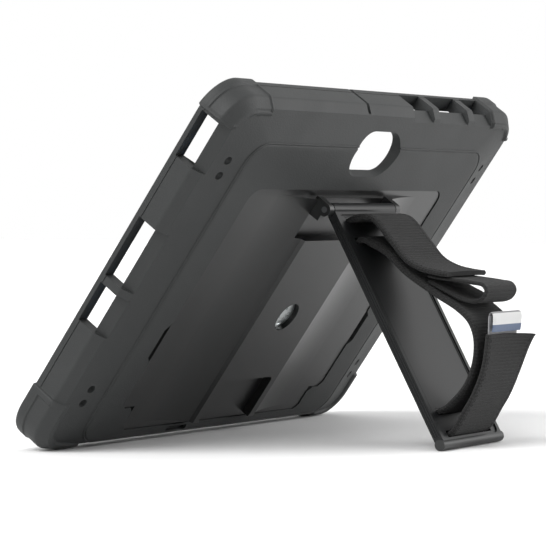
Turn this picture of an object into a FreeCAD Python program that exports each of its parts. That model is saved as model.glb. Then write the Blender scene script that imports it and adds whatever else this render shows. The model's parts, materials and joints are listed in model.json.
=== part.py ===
import FreeCAD, Part
import math
import os

# Rugged tablet case with a kickstand and a hand strap, in millimetres.
#
# The case is drawn lying flat: X runs along its long side, Y from the long edge it
# stands on up to the camera edge, and Z from the outer face of the hard back panel
# (Z = 0) up to the screen rim.  The kickstand is drawn in its own frame: X the same,
# Y from the hinge axis along the leaf to the foot, and Z off the leaf's outer face.
# Both are then turned about X into the standing pose, +Z up, with the case leaning
# back on the open stand and the origin under the middle of the whole thing.

Vec = FreeCAD.Vector

# ---- case, overall
case_length = 270.0
case_height = 196.0
rim_height = 21.0
corner_radius = 17.0
wall = 6.5
lip_overhang = 1.5
lip_thickness = 2.0
tablet_depth = 10.5
floor_thickness = 3.2
floor_edge_height = 5.8
field_side_inset = 25.0
field_top_inset = 19.6
field_bottom_inset = 8.0
field_radius = 12.0
back_edge_inset = 3.6
back_edge_height = 3.8
side_start_height = 8.0
rim_rounding = 1.2
floor_slope = 26.0

# ---- corner bumpers
bumper_reach_long = 29.0
bumper_reach_top = 14.0
bumper_reach_bottom = 29.0
bumper_proud = 1.2

# ---- openings in the soft shell
port_height = 9.0
port_base = 9.2
ledge_depth = 2.6
speaker_from_top = (15.0, 39.0)
usb_from_middle = (-6.0, 26.0)
jack_from_middle = (-31.0, -10.0)
keys_from_left = ((91.0, 111.0), (55.0, 85.0), (30.0, 49.0))
slit_place = 20.0
slit_width = 2.4
camera_length = 41.0
camera_width = 25.0
camera_from_top = 23.0
lanyard_hole = 4.2
lanyard_pitch = 8.0
lanyard_inset = 14.5
lanyard_from_end = 38.5

# ---- hard back panel
panel_side_inset = 45.0
panel_bottom = 13.0
panel_top_from_top = 44.0
panel_radius = 7.0
panel_jog_width = 11.0
panel_jog_height = 27.0
panel_gap = 0.15
edge_scoop_from_bottom = 65.0
edge_scoop_length = 25.0
edge_scoop_depth = 1.6
scoop_reach = 3.4
plateau_half_width = 27.5
plateau_height = 5.5
plateau_edge = 1.6
ramp_width = 38.0
plateau_end_gap = 3.5
pocket_floor = 1.4
pocket_clearance = 1.6
pocket_side_gap = 0.3
scoop_width = 46.0
scoop_corner = 3.0
badge_from_bottom = 80.0
badge_radius = 8.0
badge_depth = 4.0
badge_thickness = 1.6
badge_gap = 0.3
badge_groove_width = 0.8
badge_groove_depth = 0.4
badge_pin_radius = 0.8
badge_pin_holes = 3

# ---- inside the case
band_width = 11.0
band_thickness = 1.2
band_half_length = 71.0
band_half_height = 45.0
band_bulge_long = 5.0
band_bulge_short = 11.0
arm_length = 46.5
arm_width = 11.0
liner_thickness = 0.9
liner_gap = 0.2
arm_slope = 0.8
pad_thickness = 3.7
pad_reach = 17.4
pad_turn = 45.0
pad_blunt = 0.32
foam_length = 58.0
foam_thickness = 4.2
foam_notch_length = 38.0
foam_notch_depth = 16.0
foam_corner = 2.0
plate_margin = 2.0
plate_thickness = 1.0
plate_gap = 0.2
plate_corner = 1.5
magnet_radius = 5.4
magnet_pitch = 17.0
magnet_thickness = 1.4
magnet_inset = 7.5
fin_thickness = 1.5
fin_reach = 34.0
fin_fan = 0.16
fin_wall_gap = 0.3
fins_long_side = 10
fins_short_side = 7

# ---- kickstand
lean = 54.3
open_angle = 64.5
hinge_from_top = 49.4
leaf_width = 58.0
leaf_thickness = 4.6
leaf_gap = 0.5
leaf_tray = 0.7
leaf_border = 2.4
tray_corner = 3.0
tray_start = 3.8
tray_end_gap = 1.2
barrel_radius = 3.2
pin_radius = 1.5
pin_clearance = 0.05
ear_thickness = 4.0
ear_side_gap = 0.7
washer_thickness = 0.4
washer_rim = 0.3
slot_side_gap = 1.5
slot_width = 3.4
strap_bar = 8.0
slot_from_axis = 4.6
foot_radius = 2.6
foot_width = 60.0
keeper_length = 34.0
keeper_width = 12.0
keeper_thickness = 1.0
keeper_corner = 2.0

# ---- hand strap
strap_width = 40.0
strap_thickness = 2.4
strap_gap = 0.3
strap_seam = 0.2
tag_width = 29.0
tag_thickness = 0.8
loop_width = 24.0
loop_band = 2.0
loop_length = 20.0
loop_height = 9.6

# ---- worked out from the sizes above
half_length = case_length / 2
mid_height = case_height / 2
panel_half_width = half_length - panel_side_inset
slot_length = strap_width + 2 * slot_side_gap
panel_top = case_height - panel_top_from_top
panel_thickness = floor_thickness
hinge_y = case_height - hinge_from_top
hinge_z = -(plateau_height + leaf_gap + leaf_thickness / 2)
shelf_height = rim_height - lip_thickness - tablet_depth
stand_slope = 180.0 - lean - open_angle
far = 4 * case_length


def box(x0, x1, y0, y1, z0, z1):
    """A box between two values on each axis."""
    return Part.makeBox(x1 - x0, y1 - y0, z1 - z0, Vec(x0, y0, z0))


def rounded_outline(x0, x1, y0, y1, radius, z):
    """A closed rectangle with four round corners, at one height."""
    k = radius * (1 - math.sqrt(0.5))
    corners = (
        ((x1 - radius, y0), (x1 - k, y0 + k), (x1, y0 + radius)),
        ((x1, y1 - radius), (x1 - k, y1 - k), (x1 - radius, y1)),
        ((x0 + radius, y1), (x0 + k, y1 - k), (x0, y1 - radius)),
        ((x0, y0 + radius), (x0 + k, y0 + k), (x0 + radius, y0)),
    )
    edges = []
    for here, after in zip(corners, corners[1:] + corners[:1]):
        a, b, c = (Vec(x, y, z) for x, y in here)
        edges.append(Part.Arc(a, b, c).toShape())
        edges.append(Part.makeLine(c, Vec(after[0][0], after[0][1], z)))
    return Part.Wire(edges)


def case_outline(inset, radius, z):
    """The case's outline moved in by inset, at one height."""
    return rounded_outline(
        -half_length + inset, half_length - inset, inset, case_height - inset, radius, z)


def slab(outline, height):
    """A solid plate that stands on a closed outline."""
    return Part.Face(outline).extrude(Vec(0, 0, height))


def polygon(points, height, z=0.0):
    """A plate with straight edges, from z up by height."""
    corners = [Vec(x, y, z) for x, y in points]
    return Part.Face(Part.makePolygon(corners + corners[:1])).extrude(Vec(0, 0, height))


def outline_radius(inset):
    """The corner radius of the outline once it is moved in by inset."""
    return max(corner_radius - inset, 2.0)


def envelope(grow=0.0):
    """The soft shell's outer form: raised field, sloping margin, sides and rounded rim."""
    field = rounded_outline(
        -half_length + field_side_inset, half_length - field_side_inset,
        field_bottom_inset, case_height - field_top_inset, field_radius, 0.0)
    rows = (
        (back_edge_height, back_edge_inset - grow, outline_radius(back_edge_inset - grow)),
        (side_start_height, -grow, outline_radius(-grow)),
        (rim_height - rim_rounding, -grow, outline_radius(-grow)),
        (rim_height, rim_rounding - grow, outline_radius(rim_rounding - grow)),
    )
    rings = [field] + [case_outline(i, r, z) for z, i, r in rows]
    return Part.makeLoft(rings, True, True)


def cavity():
    """The room inside: a dished floor, the tablet's bay and the mouth between the lips."""
    r = outline_radius(wall)
    dish = Part.makeLoft([
        case_outline(wall + floor_slope, field_radius, floor_thickness),
        case_outline(wall, r, floor_edge_height),
        case_outline(wall, r, shelf_height + tablet_depth),
    ], True, True)
    mouth_inset = wall + lip_overhang
    mouth = slab(
        case_outline(mouth_inset, outline_radius(mouth_inset), floor_edge_height + 1), rim_height)
    return dish.fuse(mouth)


def corner_boxes(z0, z1):
    """Four boxes that mark where the corner bumpers are."""
    over = 2 * bumper_proud
    x_far = half_length + over
    x_near = half_length - bumper_reach_long
    ends = {
        "top": (case_height - bumper_reach_top, case_height + over),
        "bottom": (-over, bumper_reach_bottom),
    }
    boxes = {}
    for end, (low, high) in ends.items():
        boxes[end + "_right"] = box(x_near, x_far, low, high, z0, z1)
        boxes[end + "_left"] = box(-x_far, -x_near, low, high, z0, z1)
    return boxes


def pill(length, width, y, z0, z1):
    """A plate with two round ends, centred on X = 0."""
    r = width / 2
    body = box(-length / 2 + r, length / 2 - r, y - r, y + r, z0, z1)
    ends = [Part.makeCylinder(r, z1 - z0, Vec(x, y, z0)) for x in (r - length / 2, length / 2 - r)]
    return body.fuse(ends).removeSplitter()


def lanyard_places():
    """The centres of the paired cord holes near the four corners."""
    places = []
    for x in (half_length - lanyard_inset, lanyard_inset - half_length):
        for y in (lanyard_from_end, case_height - lanyard_from_end + lanyard_pitch):
            places.append((x, y))
            places.append((x, y - lanyard_pitch))
    return places


def panel_form(gap, z, height):
    """The back panel's outline as a plate, with both lower corners stepped in."""
    w = panel_half_width + gap
    low = panel_bottom - gap
    plate = slab(rounded_outline(-w, w, low, panel_top + gap, panel_radius, z), height)
    foot = w - panel_jog_width
    step = panel_jog_height - gap
    corners = [
        box(foot, far, -far, step, z - 1, z + height + 1),
        box(-far, -foot, -far, step, z - 1, z + height + 1),
    ]
    return plate.cut(corners)


def edge_scoops():
    """Two shallow finger scoops in the soft shell beside the panel's long edges."""
    sagitta = scoop_reach
    r = (edge_scoop_length ** 2 / 4 + sagitta ** 2) / (2 * sagitta)
    y = edge_scoop_from_bottom
    scoops = []
    for side in (1, -1):
        x = side * (panel_half_width + panel_gap + sagitta - r)
        scoops.append(Part.makeCylinder(r, edge_scoop_depth + 1, Vec(x, y, -1)))
    keep = box(-far, far, y - edge_scoop_length / 2, y + edge_scoop_length / 2, -2, rim_height)
    return [scoop.common(keep) for scoop in scoops]


def port_cut(low, high):
    """A port in the short side, with a ledge that opens onto the back margin."""
    x0 = half_length - 2 * wall
    x1 = half_length + wall
    hole = box(x0, x1, low, high, port_base, port_base + port_height)
    step = box(half_length - ledge_depth, x1, low, high, 0, port_base)
    return hole.fuse(step)


def key_cut(low, high):
    """An opening over side keys in the long top side, with its ledge."""
    y0 = case_height - 2 * wall
    y1 = case_height + wall
    hole = box(low, high, y0, y1, port_base, port_base + port_height)
    step = box(low, high, case_height - ledge_depth, y1, 0, port_base)
    return hole.fuse(step)


def shell_cuts():
    """Everything that is cut through the soft shell."""
    near, away = speaker_from_top
    cuts = [port_cut(case_height - away, case_height - near)]
    cuts += [port_cut(mid_height + a, mid_height + b) for a, b in (usb_from_middle, jack_from_middle)]
    cuts += [key_cut(a - half_length, b - half_length) for a, b in keys_from_left]
    r = slit_width / 2
    y0 = case_height - 2 * wall
    y1 = case_height + wall
    cuts.append(box(slit_place - r, slit_place + r, y0, y1, port_base, port_base + port_height))
    camera_y = case_height - camera_from_top
    cuts.append(pill(camera_length, camera_width, camera_y, -1, rim_height))
    for x, y in lanyard_places():
        cuts.append(Part.makeCylinder(lanyard_hole / 2, rim_height, Vec(x, y, -1)))
    return cuts


def make_shell():
    """The soft shell as a back, four walls and four proud corner bumpers."""
    inside = cavity()
    cuts = shell_cuts()
    body = envelope().cut([inside] + cuts)
    seats = corner_boxes(-1, rim_height + 1)
    core = slab(case_outline(wall, outline_radius(wall), -1), rim_height + 2)
    window = panel_form(panel_gap, -1, rim_height)

    low_zone = box(-far, far, -far, far, -far, floor_edge_height)
    corners = [seats[name].cut(core) for name in sorted(seats)]
    back = body.common(low_zone).cut(corners + [window] + edge_scoops())

    high_zone = box(-far, far, -far, far, floor_edge_height, far)
    upper = body.common(high_zone).cut(list(seats.values()))
    run = half_length - bumper_reach_long
    pieces = {"shell_back": back}
    pieces["shell_wall_top"] = upper.common(box(-run, run, mid_height, far, -far, far))
    pieces["shell_wall_bottom"] = upper.common(box(-run, run, -far, mid_height, -far, far))
    pieces["shell_wall_right"] = upper.common(box(run, far, -far, far, -far, far))
    pieces["shell_wall_left"] = upper.common(box(-far, -run, -far, far, -far, far))

    proud = envelope(bumper_proud).cut([inside] + cuts)
    for name in sorted(seats):
        ring = proud.common(seats[name]).cut(core.common(low_zone))
        pieces["corner_bumper_" + name] = ring
    return pieces


def make_fins():
    """Thin tapering ribs that fan out over the floor and cushion the tablet's edge."""
    fins = []

    def fin(x, y, turn):
        """One rib: tall at the wall, running down into the floor, towards local -Y."""
        profile = [
            Vec(0, 0, 0), Vec(0, 0, shelf_height), Vec(0, -fin_reach, floor_thickness),
            Vec(0, -fin_reach, 0),
        ]
        face = Part.Face(Part.makePolygon(profile + profile[:1]))
        rib = face.extrude(Vec(fin_thickness, 0, 0))
        rib.translate(Vec(-fin_thickness / 2, 0, 0))
        rib.rotate(Vec(0, 0, 0), Vec(0, 0, 1), turn)
        rib.translate(Vec(x, y, 0))
        return rib

    start = wall + floor_slope
    edge = wall + fin_wall_gap
    long_step = (case_length - 2 * start) / (fins_long_side - 1)
    short_step = (case_height - 2 * start) / (fins_short_side - 1)
    for i in range(fins_long_side):
        x = -half_length + start + i * long_step
        tilt = math.degrees(math.atan(fin_fan * x / start))
        fins.append(fin(x, case_height - edge, -tilt))
        fins.append(fin(x, edge, 180 + tilt))
    for i in range(fins_short_side):
        y = start + i * short_step
        tilt = math.degrees(math.atan(fin_fan * (y - mid_height) / start))
        fins.append(fin(half_length - edge, y, -90 + tilt))
        fins.append(fin(edge - half_length, y, 90 - tilt))
    room = cavity().cut([make_band()] + [make_pad(*p) for p in pad_centres().values()])
    blocked = shell_cuts() + [panel_form(panel_gap, -1, rim_height)]
    return Part.makeCompound([rib.common(room).cut(blocked) for rib in fins])


def plateau_profile():
    """The raised middle's section across the case, with a hollow ramp on each side."""
    w = plateau_half_width
    h = plateau_height
    e = plateau_edge
    run = ramp_width - e
    drop = h - e
    r = (run ** 2 + drop ** 2) / (2 * drop)
    half_way = r - math.sqrt(r ** 2 - run ** 2 / 4)
    out = w + ramp_width
    root = panel_thickness / 2
    right = [Vec(out, 0, 0), Vec(out - run / 2, 0, -half_way), Vec(w + e, 0, -drop)]
    left = [Vec(-v.x, 0, v.z) for v in reversed(right)]
    edges = [
        Part.Arc(*right).toShape(),
        Part.makeLine(right[2], Vec(w, 0, -h)),
        Part.makeLine(Vec(w, 0, -h), Vec(-w, 0, -h)),
        Part.makeLine(Vec(-w, 0, -h), left[0]),
        Part.Arc(*left).toShape(),
        Part.makeLine(left[2], Vec(-out, 0, root)),
        Part.makeLine(Vec(-out, 0, root), Vec(out, 0, root)),
        Part.makeLine(Vec(out, 0, root), right[0]),
    ]
    return Part.Wire(edges)


def folded_y(along):
    """Where a point of the leaf lies on the case once the stand is folded."""
    return hinge_y - along


def make_panel():
    """The hard back panel with its plateau, hinge pocket, finger scoop and badge well."""
    plate = panel_form(0, 0, panel_thickness)
    low = panel_bottom + plateau_end_gap
    high = panel_top - plateau_end_gap
    raised = Part.Face(plateau_profile()).extrude(Vec(0, high - low, 0))
    raised.translate(Vec(0, low, 0))
    panel = plate.fuse(raised).removeSplitter()

    pocket_half = leaf_width / 2 + ear_side_gap + ear_thickness + pocket_side_gap
    pocket_low = folded_y(strap_top_bar()[1] + strap_gap + strap_thickness) - pocket_clearance
    pocket = box(
        -pocket_half, pocket_half, pocket_low, panel_top + 1, -2 * plateau_height, -pocket_floor)
    scoop_top = folded_y(strap_foot_bar()[0] - strap_gap - strap_thickness) + pocket_clearance
    scoop = box(
        -scoop_width / 2, scoop_width / 2, low - 1, scoop_top, -2 * plateau_height, -pocket_floor)
    scoop = scoop.makeFillet(scoop_corner, [e for e in scoop.Edges if is_upright(e)])
    well = Part.makeCylinder(
        badge_radius, badge_depth + 1, Vec(0, badge_from_bottom, -plateau_height - 1))
    return panel.cut([pocket, scoop, well])


def is_upright(edge):
    """Whether an edge runs along Z."""
    a, b = (v.Point for v in edge.Vertexes)
    return abs(a.z - b.z) > 1e-6 and math.hypot(a.x - b.x, a.y - b.y) < 1e-6


def make_ears():
    """The two upright ears on the panel that hold the hinge pin's ends."""
    ears = []
    start = leaf_width / 2 + ear_side_gap
    for side in (1, -1):
        x = start if side > 0 else -start - ear_thickness
        foot = box(
            x, x + ear_thickness, hinge_y - 2 * barrel_radius, hinge_y + barrel_radius,
            hinge_z, -pocket_floor)
        head = Part.makeCylinder(barrel_radius, ear_thickness, Vec(x, hinge_y, hinge_z), Vec(1, 0, 0))
        hole = Part.makeCylinder(pin_radius, far, Vec(-far / 2, hinge_y, hinge_z), Vec(1, 0, 0))
        ears.append(foot.fuse(head).removeSplitter().cut(hole))
    return Part.makeCompound(ears)


def make_pin():
    """The steel pin that the stand turns on, pressed into both ears."""
    half = leaf_width / 2 + ear_side_gap + ear_thickness
    return Part.makeCylinder(pin_radius, 2 * half, Vec(-half, hinge_y, hinge_z), Vec(1, 0, 0))


def make_washers():
    """Spring washers in the gaps beside the leaf, which give the hinge its friction."""
    rings = []
    gap = (ear_side_gap - washer_thickness) / 2
    for side in (1, -1):
        x = side * (leaf_width / 2 + gap)
        x = x if side > 0 else x - washer_thickness
        at = Vec(x, hinge_y, hinge_z)
        ring = Part.makeCylinder(barrel_radius - washer_rim, washer_thickness, at, Vec(1, 0, 0))
        hole = Part.makeCylinder(pin_radius + pin_clearance, washer_thickness, at, Vec(1, 0, 0))
        rings.append(ring.cut(hole))
    return Part.makeCompound(rings)


def make_badge():
    """A plain steel disc at the bottom of the round well, with a groove and pin holes."""
    z = -plateau_height + badge_depth - badge_thickness
    at = Vec(0, badge_from_bottom, z)
    disc = Part.makeCylinder(badge_radius - badge_gap, badge_thickness, at)
    outer = badge_radius - 2 * badge_groove_width
    groove = Part.makeCylinder(outer, badge_groove_depth, at)
    groove = groove.cut(Part.makeCylinder(outer - badge_groove_width, badge_groove_depth, at))
    cuts = [groove]
    ring = outer / 2
    for i in range(badge_pin_holes):
        a = math.radians(90 + 360 * i / badge_pin_holes)
        place = Vec(ring * math.cos(a), badge_from_bottom + ring * math.sin(a), z)
        cuts.append(Part.makeCylinder(badge_pin_radius, badge_thickness / 2, place))
    return disc.cut(cuts)


def barrel_outline(inset, z):
    """The reinforcing band's outline: four shallow arcs, moved in by inset."""
    w = band_half_length - inset
    h = band_half_height - inset
    long_mid = h + band_bulge_long
    short_mid = w + band_bulge_short
    points = (
        ((w, -h), (short_mid, 0), (w, h)),
        ((w, h), (0, long_mid), (-w, h)),
        ((-w, h), (-short_mid, 0), (-w, -h)),
        ((-w, -h), (0, -long_mid), (w, -h)),
    )
    edges = []
    for run in points:
        edges.append(Part.Arc(*[Vec(x, y + mid_height, z) for x, y in run]).toShape())
    return Part.Wire(edges)


def pad_centres():
    """The centres of the four cushions, at the corners of the band."""
    shift = band_width / 2
    places = {}
    for side, sx in (("right", 1), ("left", -1)):
        for end, sy in (("top", 1), ("bottom", -1)):
            x = sx * (band_half_length - shift)
            y = mid_height + sy * (band_half_height - shift)
            places[end + "_" + side] = (x, y, sx, sy)
    return places


def make_band():
    """The stiff band on the floor: a barrel-shaped ring with an arm to each corner."""
    z = floor_thickness
    ring = slab(barrel_outline(0, z), band_thickness)
    pieces = []
    for x, y, sx, sy in pad_centres().values():
        arm = box(0, arm_length, -arm_width / 2, arm_width / 2, z, z + band_thickness)
        arm.rotate(Vec(0, 0, 0), Vec(0, 0, 1), math.degrees(math.atan2(sy * arm_slope, sx)))
        arm.translate(Vec(x, y, 0))
        pieces.append(arm)
    whole = ring.fuse(pieces).removeSplitter()
    inner = slab(barrel_outline(band_width, z - 1), band_thickness + 2)
    return whole.cut(inner).common(cavity())


def make_liner():
    """The thin dark plate inside the band."""
    return slab(barrel_outline(band_width + liner_gap, panel_thickness), liner_thickness)


def make_pad(x, y, sx, sy):
    """One three-lobed cushion with blunt corners, moulded over the band."""
    points = []
    for i in range(3):
        a = math.radians(120 * i + pad_turn)
        for d in (-pad_blunt, pad_blunt):
            points.append((pad_reach * math.cos(a + d), pad_reach * math.sin(a + d)))
    turned = [(x + sx * px, y + sy * py) for px, py in points]
    if sx * sy < 0:
        turned.reverse()
    block = polygon(turned, band_thickness + pad_thickness, floor_thickness)
    return block.common(cavity()).cut([make_band(), make_liner()])


def foam_low():
    """The foam pad's edge that is nearer the long edge the case stands on."""
    return mid_height - foam_length / 2


def make_foam():
    """The foam block in the middle, notched to show two magnets."""
    z = panel_thickness + liner_thickness
    half = foam_length / 2
    low = foam_low()
    block = slab(rounded_outline(-half, half, low, low + foam_length, foam_corner, z), foam_thickness)
    notch = box(
        -foam_notch_length / 2, foam_notch_length / 2, low - 1, low + foam_notch_depth,
        z - 1, z + foam_thickness + 1)
    return block.cut(notch)


def make_magnet_plate():
    """The thin steel plate in the foam's notch that carries the magnets."""
    z = panel_thickness + liner_thickness
    half = foam_notch_length / 2 - plate_gap
    low = foam_low() + plate_margin
    high = foam_low() + foam_notch_depth - plate_gap
    return slab(rounded_outline(-half, half, low, high, plate_corner, z), plate_thickness)


def make_magnets():
    """Two disc magnets that hold the folded stand against the plateau."""
    z = panel_thickness + liner_thickness + plate_thickness
    y = magnet_y()
    discs = []
    for x in (-magnet_pitch / 2, magnet_pitch / 2):
        disc = Part.makeCylinder(magnet_radius, magnet_thickness, Vec(x, y, z))
        flat = box(
            x - magnet_radius, x + magnet_radius, y - 2 * magnet_radius, y - 0.75 * magnet_radius,
            z + magnet_thickness / 2, z + 2 * magnet_thickness)
        discs.append(disc.cut(flat))
    return Part.makeCompound(discs)


def turned(point, angle):
    """A case point (Y, Z) after it is turned about X by angle degrees."""
    a = math.radians(angle)
    y, z = point
    return (y * math.cos(a) - z * math.sin(a), y * math.sin(a) + z * math.cos(a))


def floor_level():
    """The height of the lowest bumper edge once the case leans back."""
    rows = (
        (back_edge_inset - bumper_proud, back_edge_height),
        (-bumper_proud, side_start_height),
        (-bumper_proud, rim_height - rim_rounding),
    )
    return min(turned(row, lean)[1] for row in rows)


def leaf_length():
    """From the hinge axis to the centre of the foot, so that the foot meets the floor."""
    axis_height = turned((hinge_y, hinge_z), lean)[1] - floor_level()
    return (axis_height - foot_radius) / math.sin(math.radians(stand_slope))


def strap_top_bar():
    """Where the bar between the two upper strap slots starts and ends along the leaf."""
    start = slot_from_axis + slot_width
    return start, start + strap_bar


def strap_foot_bar():
    """Where the bar between the two lower strap slots starts and ends along the leaf."""
    end = leaf_length() - foot_radius - slot_width
    return end - strap_bar, end


def slot_starts():
    """The four strap slots' near edges, measured along the leaf."""
    top = strap_top_bar()
    foot = strap_foot_bar()
    return top[0] - slot_width, top[1], foot[0] - slot_width, foot[1]


def make_leaf():
    """The stand's leaf: a shallow tray with a hinge barrel and four strap slots."""
    half = leaf_width / 2
    t = leaf_thickness / 2
    length = leaf_length()
    plate = box(-half, half, 0, length, -t, t)
    barrel = Part.makeCylinder(barrel_radius, leaf_width, Vec(-half, 0, 0), Vec(1, 0, 0))
    tray = slab(rounded_outline(
        leaf_border - half, half - leaf_border, tray_start, length - tray_end_gap,
        tray_corner, t - leaf_tray), leaf_tray + 1)
    bore = Part.makeCylinder(
        pin_radius + pin_clearance, leaf_width + 2, Vec(-half - 1, 0, 0), Vec(1, 0, 0))
    cuts = [tray, bore]
    for y in slot_starts():
        cuts.append(box(-slot_length / 2, slot_length / 2, y, y + slot_width, -far, far))
    cuts.append(make_keeper())
    return plate.fuse(barrel).removeSplitter().cut(cuts)


def magnet_y():
    """Where the catch magnets' centres are, from the edge the case stands on."""
    return foam_low() + plate_margin + magnet_inset


def make_keeper():
    """The steel strip set in the leaf's inner face, which the magnets pull on."""
    along = hinge_y - magnet_y()
    z = -leaf_thickness / 2
    x = keeper_length / 2
    y = keeper_width / 2
    return slab(rounded_outline(-x, x, along - y, along + y, keeper_corner, z), keeper_thickness)


def make_foot():
    """The round foot bar along the leaf's free end."""
    half = foot_width / 2
    length = leaf_length()
    bar = Part.makeCylinder(foot_radius, foot_width, Vec(-half, length, 0), Vec(1, 0, 0))
    t = leaf_thickness / 2
    return bar.cut(box(-leaf_width / 2, leaf_width / 2, 0, length, -t, t))


def ribbon(points, thickness, width, x=0.0):
    """A band of even thickness along a smooth line of (along, off) points."""
    line = Part.BSplineCurve()
    line.interpolate([Vec(0, a, b) for a, b in points])
    first = line.FirstParameter
    last = line.LastParameter
    count = 6 * len(points)
    sides = ([], [])
    for i in range(count + 1):
        u = first + (last - first) * i / count
        p = line.value(u)
        d = line.tangent(u)[0]
        n = Vec(0, -d.z, d.y)
        sides[0].append(p + n * (thickness / 2))
        sides[1].append(p - n * (thickness / 2))
    edges = []
    for run in sides:
        curve = Part.BSplineCurve()
        curve.interpolate(run)
        edges.append(curve.toShape())
    ends = [
        Part.makeLine(sides[0][0], sides[1][0]),
        Part.makeLine(sides[0][-1], sides[1][-1]),
    ]
    wire = Part.Wire(Part.__sortEdges__([edges[0], ends[1], edges[1], ends[0]]))
    band = Part.Face(wire).extrude(Vec(width, 0, 0))
    band.translate(Vec(x - width / 2, 0, 0))
    return band


def under_bar(start, end):
    """The strap's turn round a bar: down one slot, under the bar and up the other."""
    t = leaf_thickness / 2
    s = strap_thickness
    g = strap_gap
    half = strap_width / 2
    low = -t - g - s
    outer = box(-half, half, start - g - s, end + g + s, low, t)
    outer = outer.makeFillet(s, [e for e in outer.Edges if is_along_x(e) and e.CenterOfMass.z < 0])
    inner = box(-far, far, start - g, end + g, low + s, far)
    return outer.cut(inner)


def is_along_x(edge):
    """Whether an edge runs along X."""
    a, b = (v.Point for v in edge.Vertexes)
    return abs(a.x - b.x) > 1e-6 and math.hypot(a.y - b.y, a.z - b.z) < 1e-6


def make_strap():
    """The hand strap: an arch over the leaf and two ends that are doubled back onto it."""
    t = leaf_thickness / 2 + strap_seam
    s = strap_thickness
    top = strap_top_bar()
    foot = strap_foot_bar()
    off = s / 2 + strap_gap
    start = top[1] + off
    end = foot[0] - off
    span = end - start
    arch = [
        (start, t), (start, t + 1.0), (start + 0.04 * span, t + 4.0),
        (start + 0.14 * span, t + 9.8),
        (start + 0.28 * span, t + 14.0), (start + 0.46 * span, t + 23.5),
        (start + 0.58 * span, t + 30.5), (start + 0.67 * span, t + 33.3),
        (start + 0.76 * span, t + 32.0), (start + 0.87 * span, t + 25.5),
        (start + 0.95 * span, t + 16.5), (end - 0.4, t + 5.0), (end, t + 1.0), (end, t),
    ]
    upper_from = top[0] - off
    upper = [
        (upper_from, t), (upper_from, t + 1.0), (upper_from + 1.2, t + 5.6),
        (upper_from + 5.4, t + 10.6),
        (start + 0.10 * span, t + 14.2), (start + 0.22 * span, t + 17.0),
        (start + 0.32 * span, t + 21.2), (start + 0.39 * span, t + 26.6),
        (start + 0.46 * span, t + 31.2),
    ]
    lower_from = foot[1] + off
    lower = [
        (lower_from, t), (lower_from, t + 1.0), (end + 0.06 * span, t + 11.5),
        (end + 0.02 * span, t + 17.6), (end - 0.08 * span, t + 28.4),
        (end - 0.22 * span, t + 38.6),
    ]
    turns = [under_bar(*top), under_bar(*foot)]
    parts = {
        "strap_arch": ribbon(arch, s, strap_width),
        "strap_upper_end": ribbon(upper, s, strap_width),
        "strap_lower_end": ribbon(lower, s, strap_width),
        "strap_turn_hinge": turns[0],
        "strap_turn_foot": turns[1],
    }
    parts["strap_tag"] = make_tag(lower[-1])
    parts["grab_loop"] = make_loop(upper[-1]).cut([parts["strap_upper_end"], parts["strap_arch"]])
    return parts


def make_tag(place):
    """The woven tag sewn into the lower end of the strap."""
    along, off = place
    run = [(along, off), (along - 4.0, off + 2.6), (along - 8.5, off + 5.0)]
    tag = ribbon(run, tag_thickness, tag_width, 2.0)
    tag.translate(Vec(0, -0.6, 0.4))
    return tag


def make_loop(place):
    """The flattened loop at the strap's upper end, standing out level from the stand."""
    along, off = place
    r = loop_height / 2
    outer = hull_of_rounds(r, 0.42 * r, loop_length - 1.42 * r, loop_width)
    hollow = hull_of_rounds(
        r - loop_band, max(0.42 * r - loop_band / 2, 0.4), loop_length - 1.42 * r - loop_band,
        loop_width)
    ring = outer.cut(hollow)
    ring.translate(Vec(-loop_width / 2, 0, 0))
    ring.rotate(Vec(0, 0, 0), Vec(1, 0, 0), stand_slope - 90)
    reach = r + strap_gap
    a = math.radians(stand_slope)
    ring.translate(Vec(0, along + reach * math.cos(a), off + reach * math.sin(a)))
    return ring


def hull_of_rounds(big, small, reach, width):
    """A teardrop block: two round ends of different size joined by their tangents."""
    lean_in = math.asin((big - small) / reach)
    c = math.cos(lean_in)
    k = math.sin(lean_in)
    low_right = Vec(0, big * c, big * k)
    low_left = Vec(0, -big * c, big * k)
    top_right = Vec(0, small * c, reach + small * k)
    top_left = Vec(0, -small * c, reach + small * k)
    edges = [
        Part.Arc(low_left, Vec(0, 0, -big), low_right).toShape(),
        Part.makeLine(low_right, top_right),
        Part.Arc(top_right, Vec(0, 0, reach + small), top_left).toShape(),
        Part.makeLine(top_left, low_left),
    ]
    return Part.Face(Part.Wire(edges)).extrude(Vec(width, 0, 0))


def case_nodes():
    """Every piece that belongs to the case, drawn flat."""
    nodes = make_shell()
    nodes["cushion_fins"] = make_fins()
    nodes["back_panel"] = make_panel()
    nodes["reinforcing_band"] = make_band()
    nodes["centre_liner"] = make_liner()
    for name, place in pad_centres().items():
        nodes["shock_pad_" + name] = make_pad(*place)
    nodes["foam_pad"] = make_foam()
    nodes["magnet_plate"] = make_magnet_plate()
    nodes["catch_magnets"] = make_magnets()
    nodes["badge_disc"] = make_badge()
    nodes["hinge_ears"] = make_ears()
    nodes["hinge_pin"] = make_pin()
    nodes["hinge_washers"] = make_washers()
    return nodes


def stand_nodes():
    """Every piece that swings with the kickstand, drawn along the leaf."""
    nodes = {
        "stand_leaf": make_leaf(),
        "stand_foot": make_foot(),
        "keeper_plate": make_keeper(),
    }
    nodes.update(make_strap())
    return nodes


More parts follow.
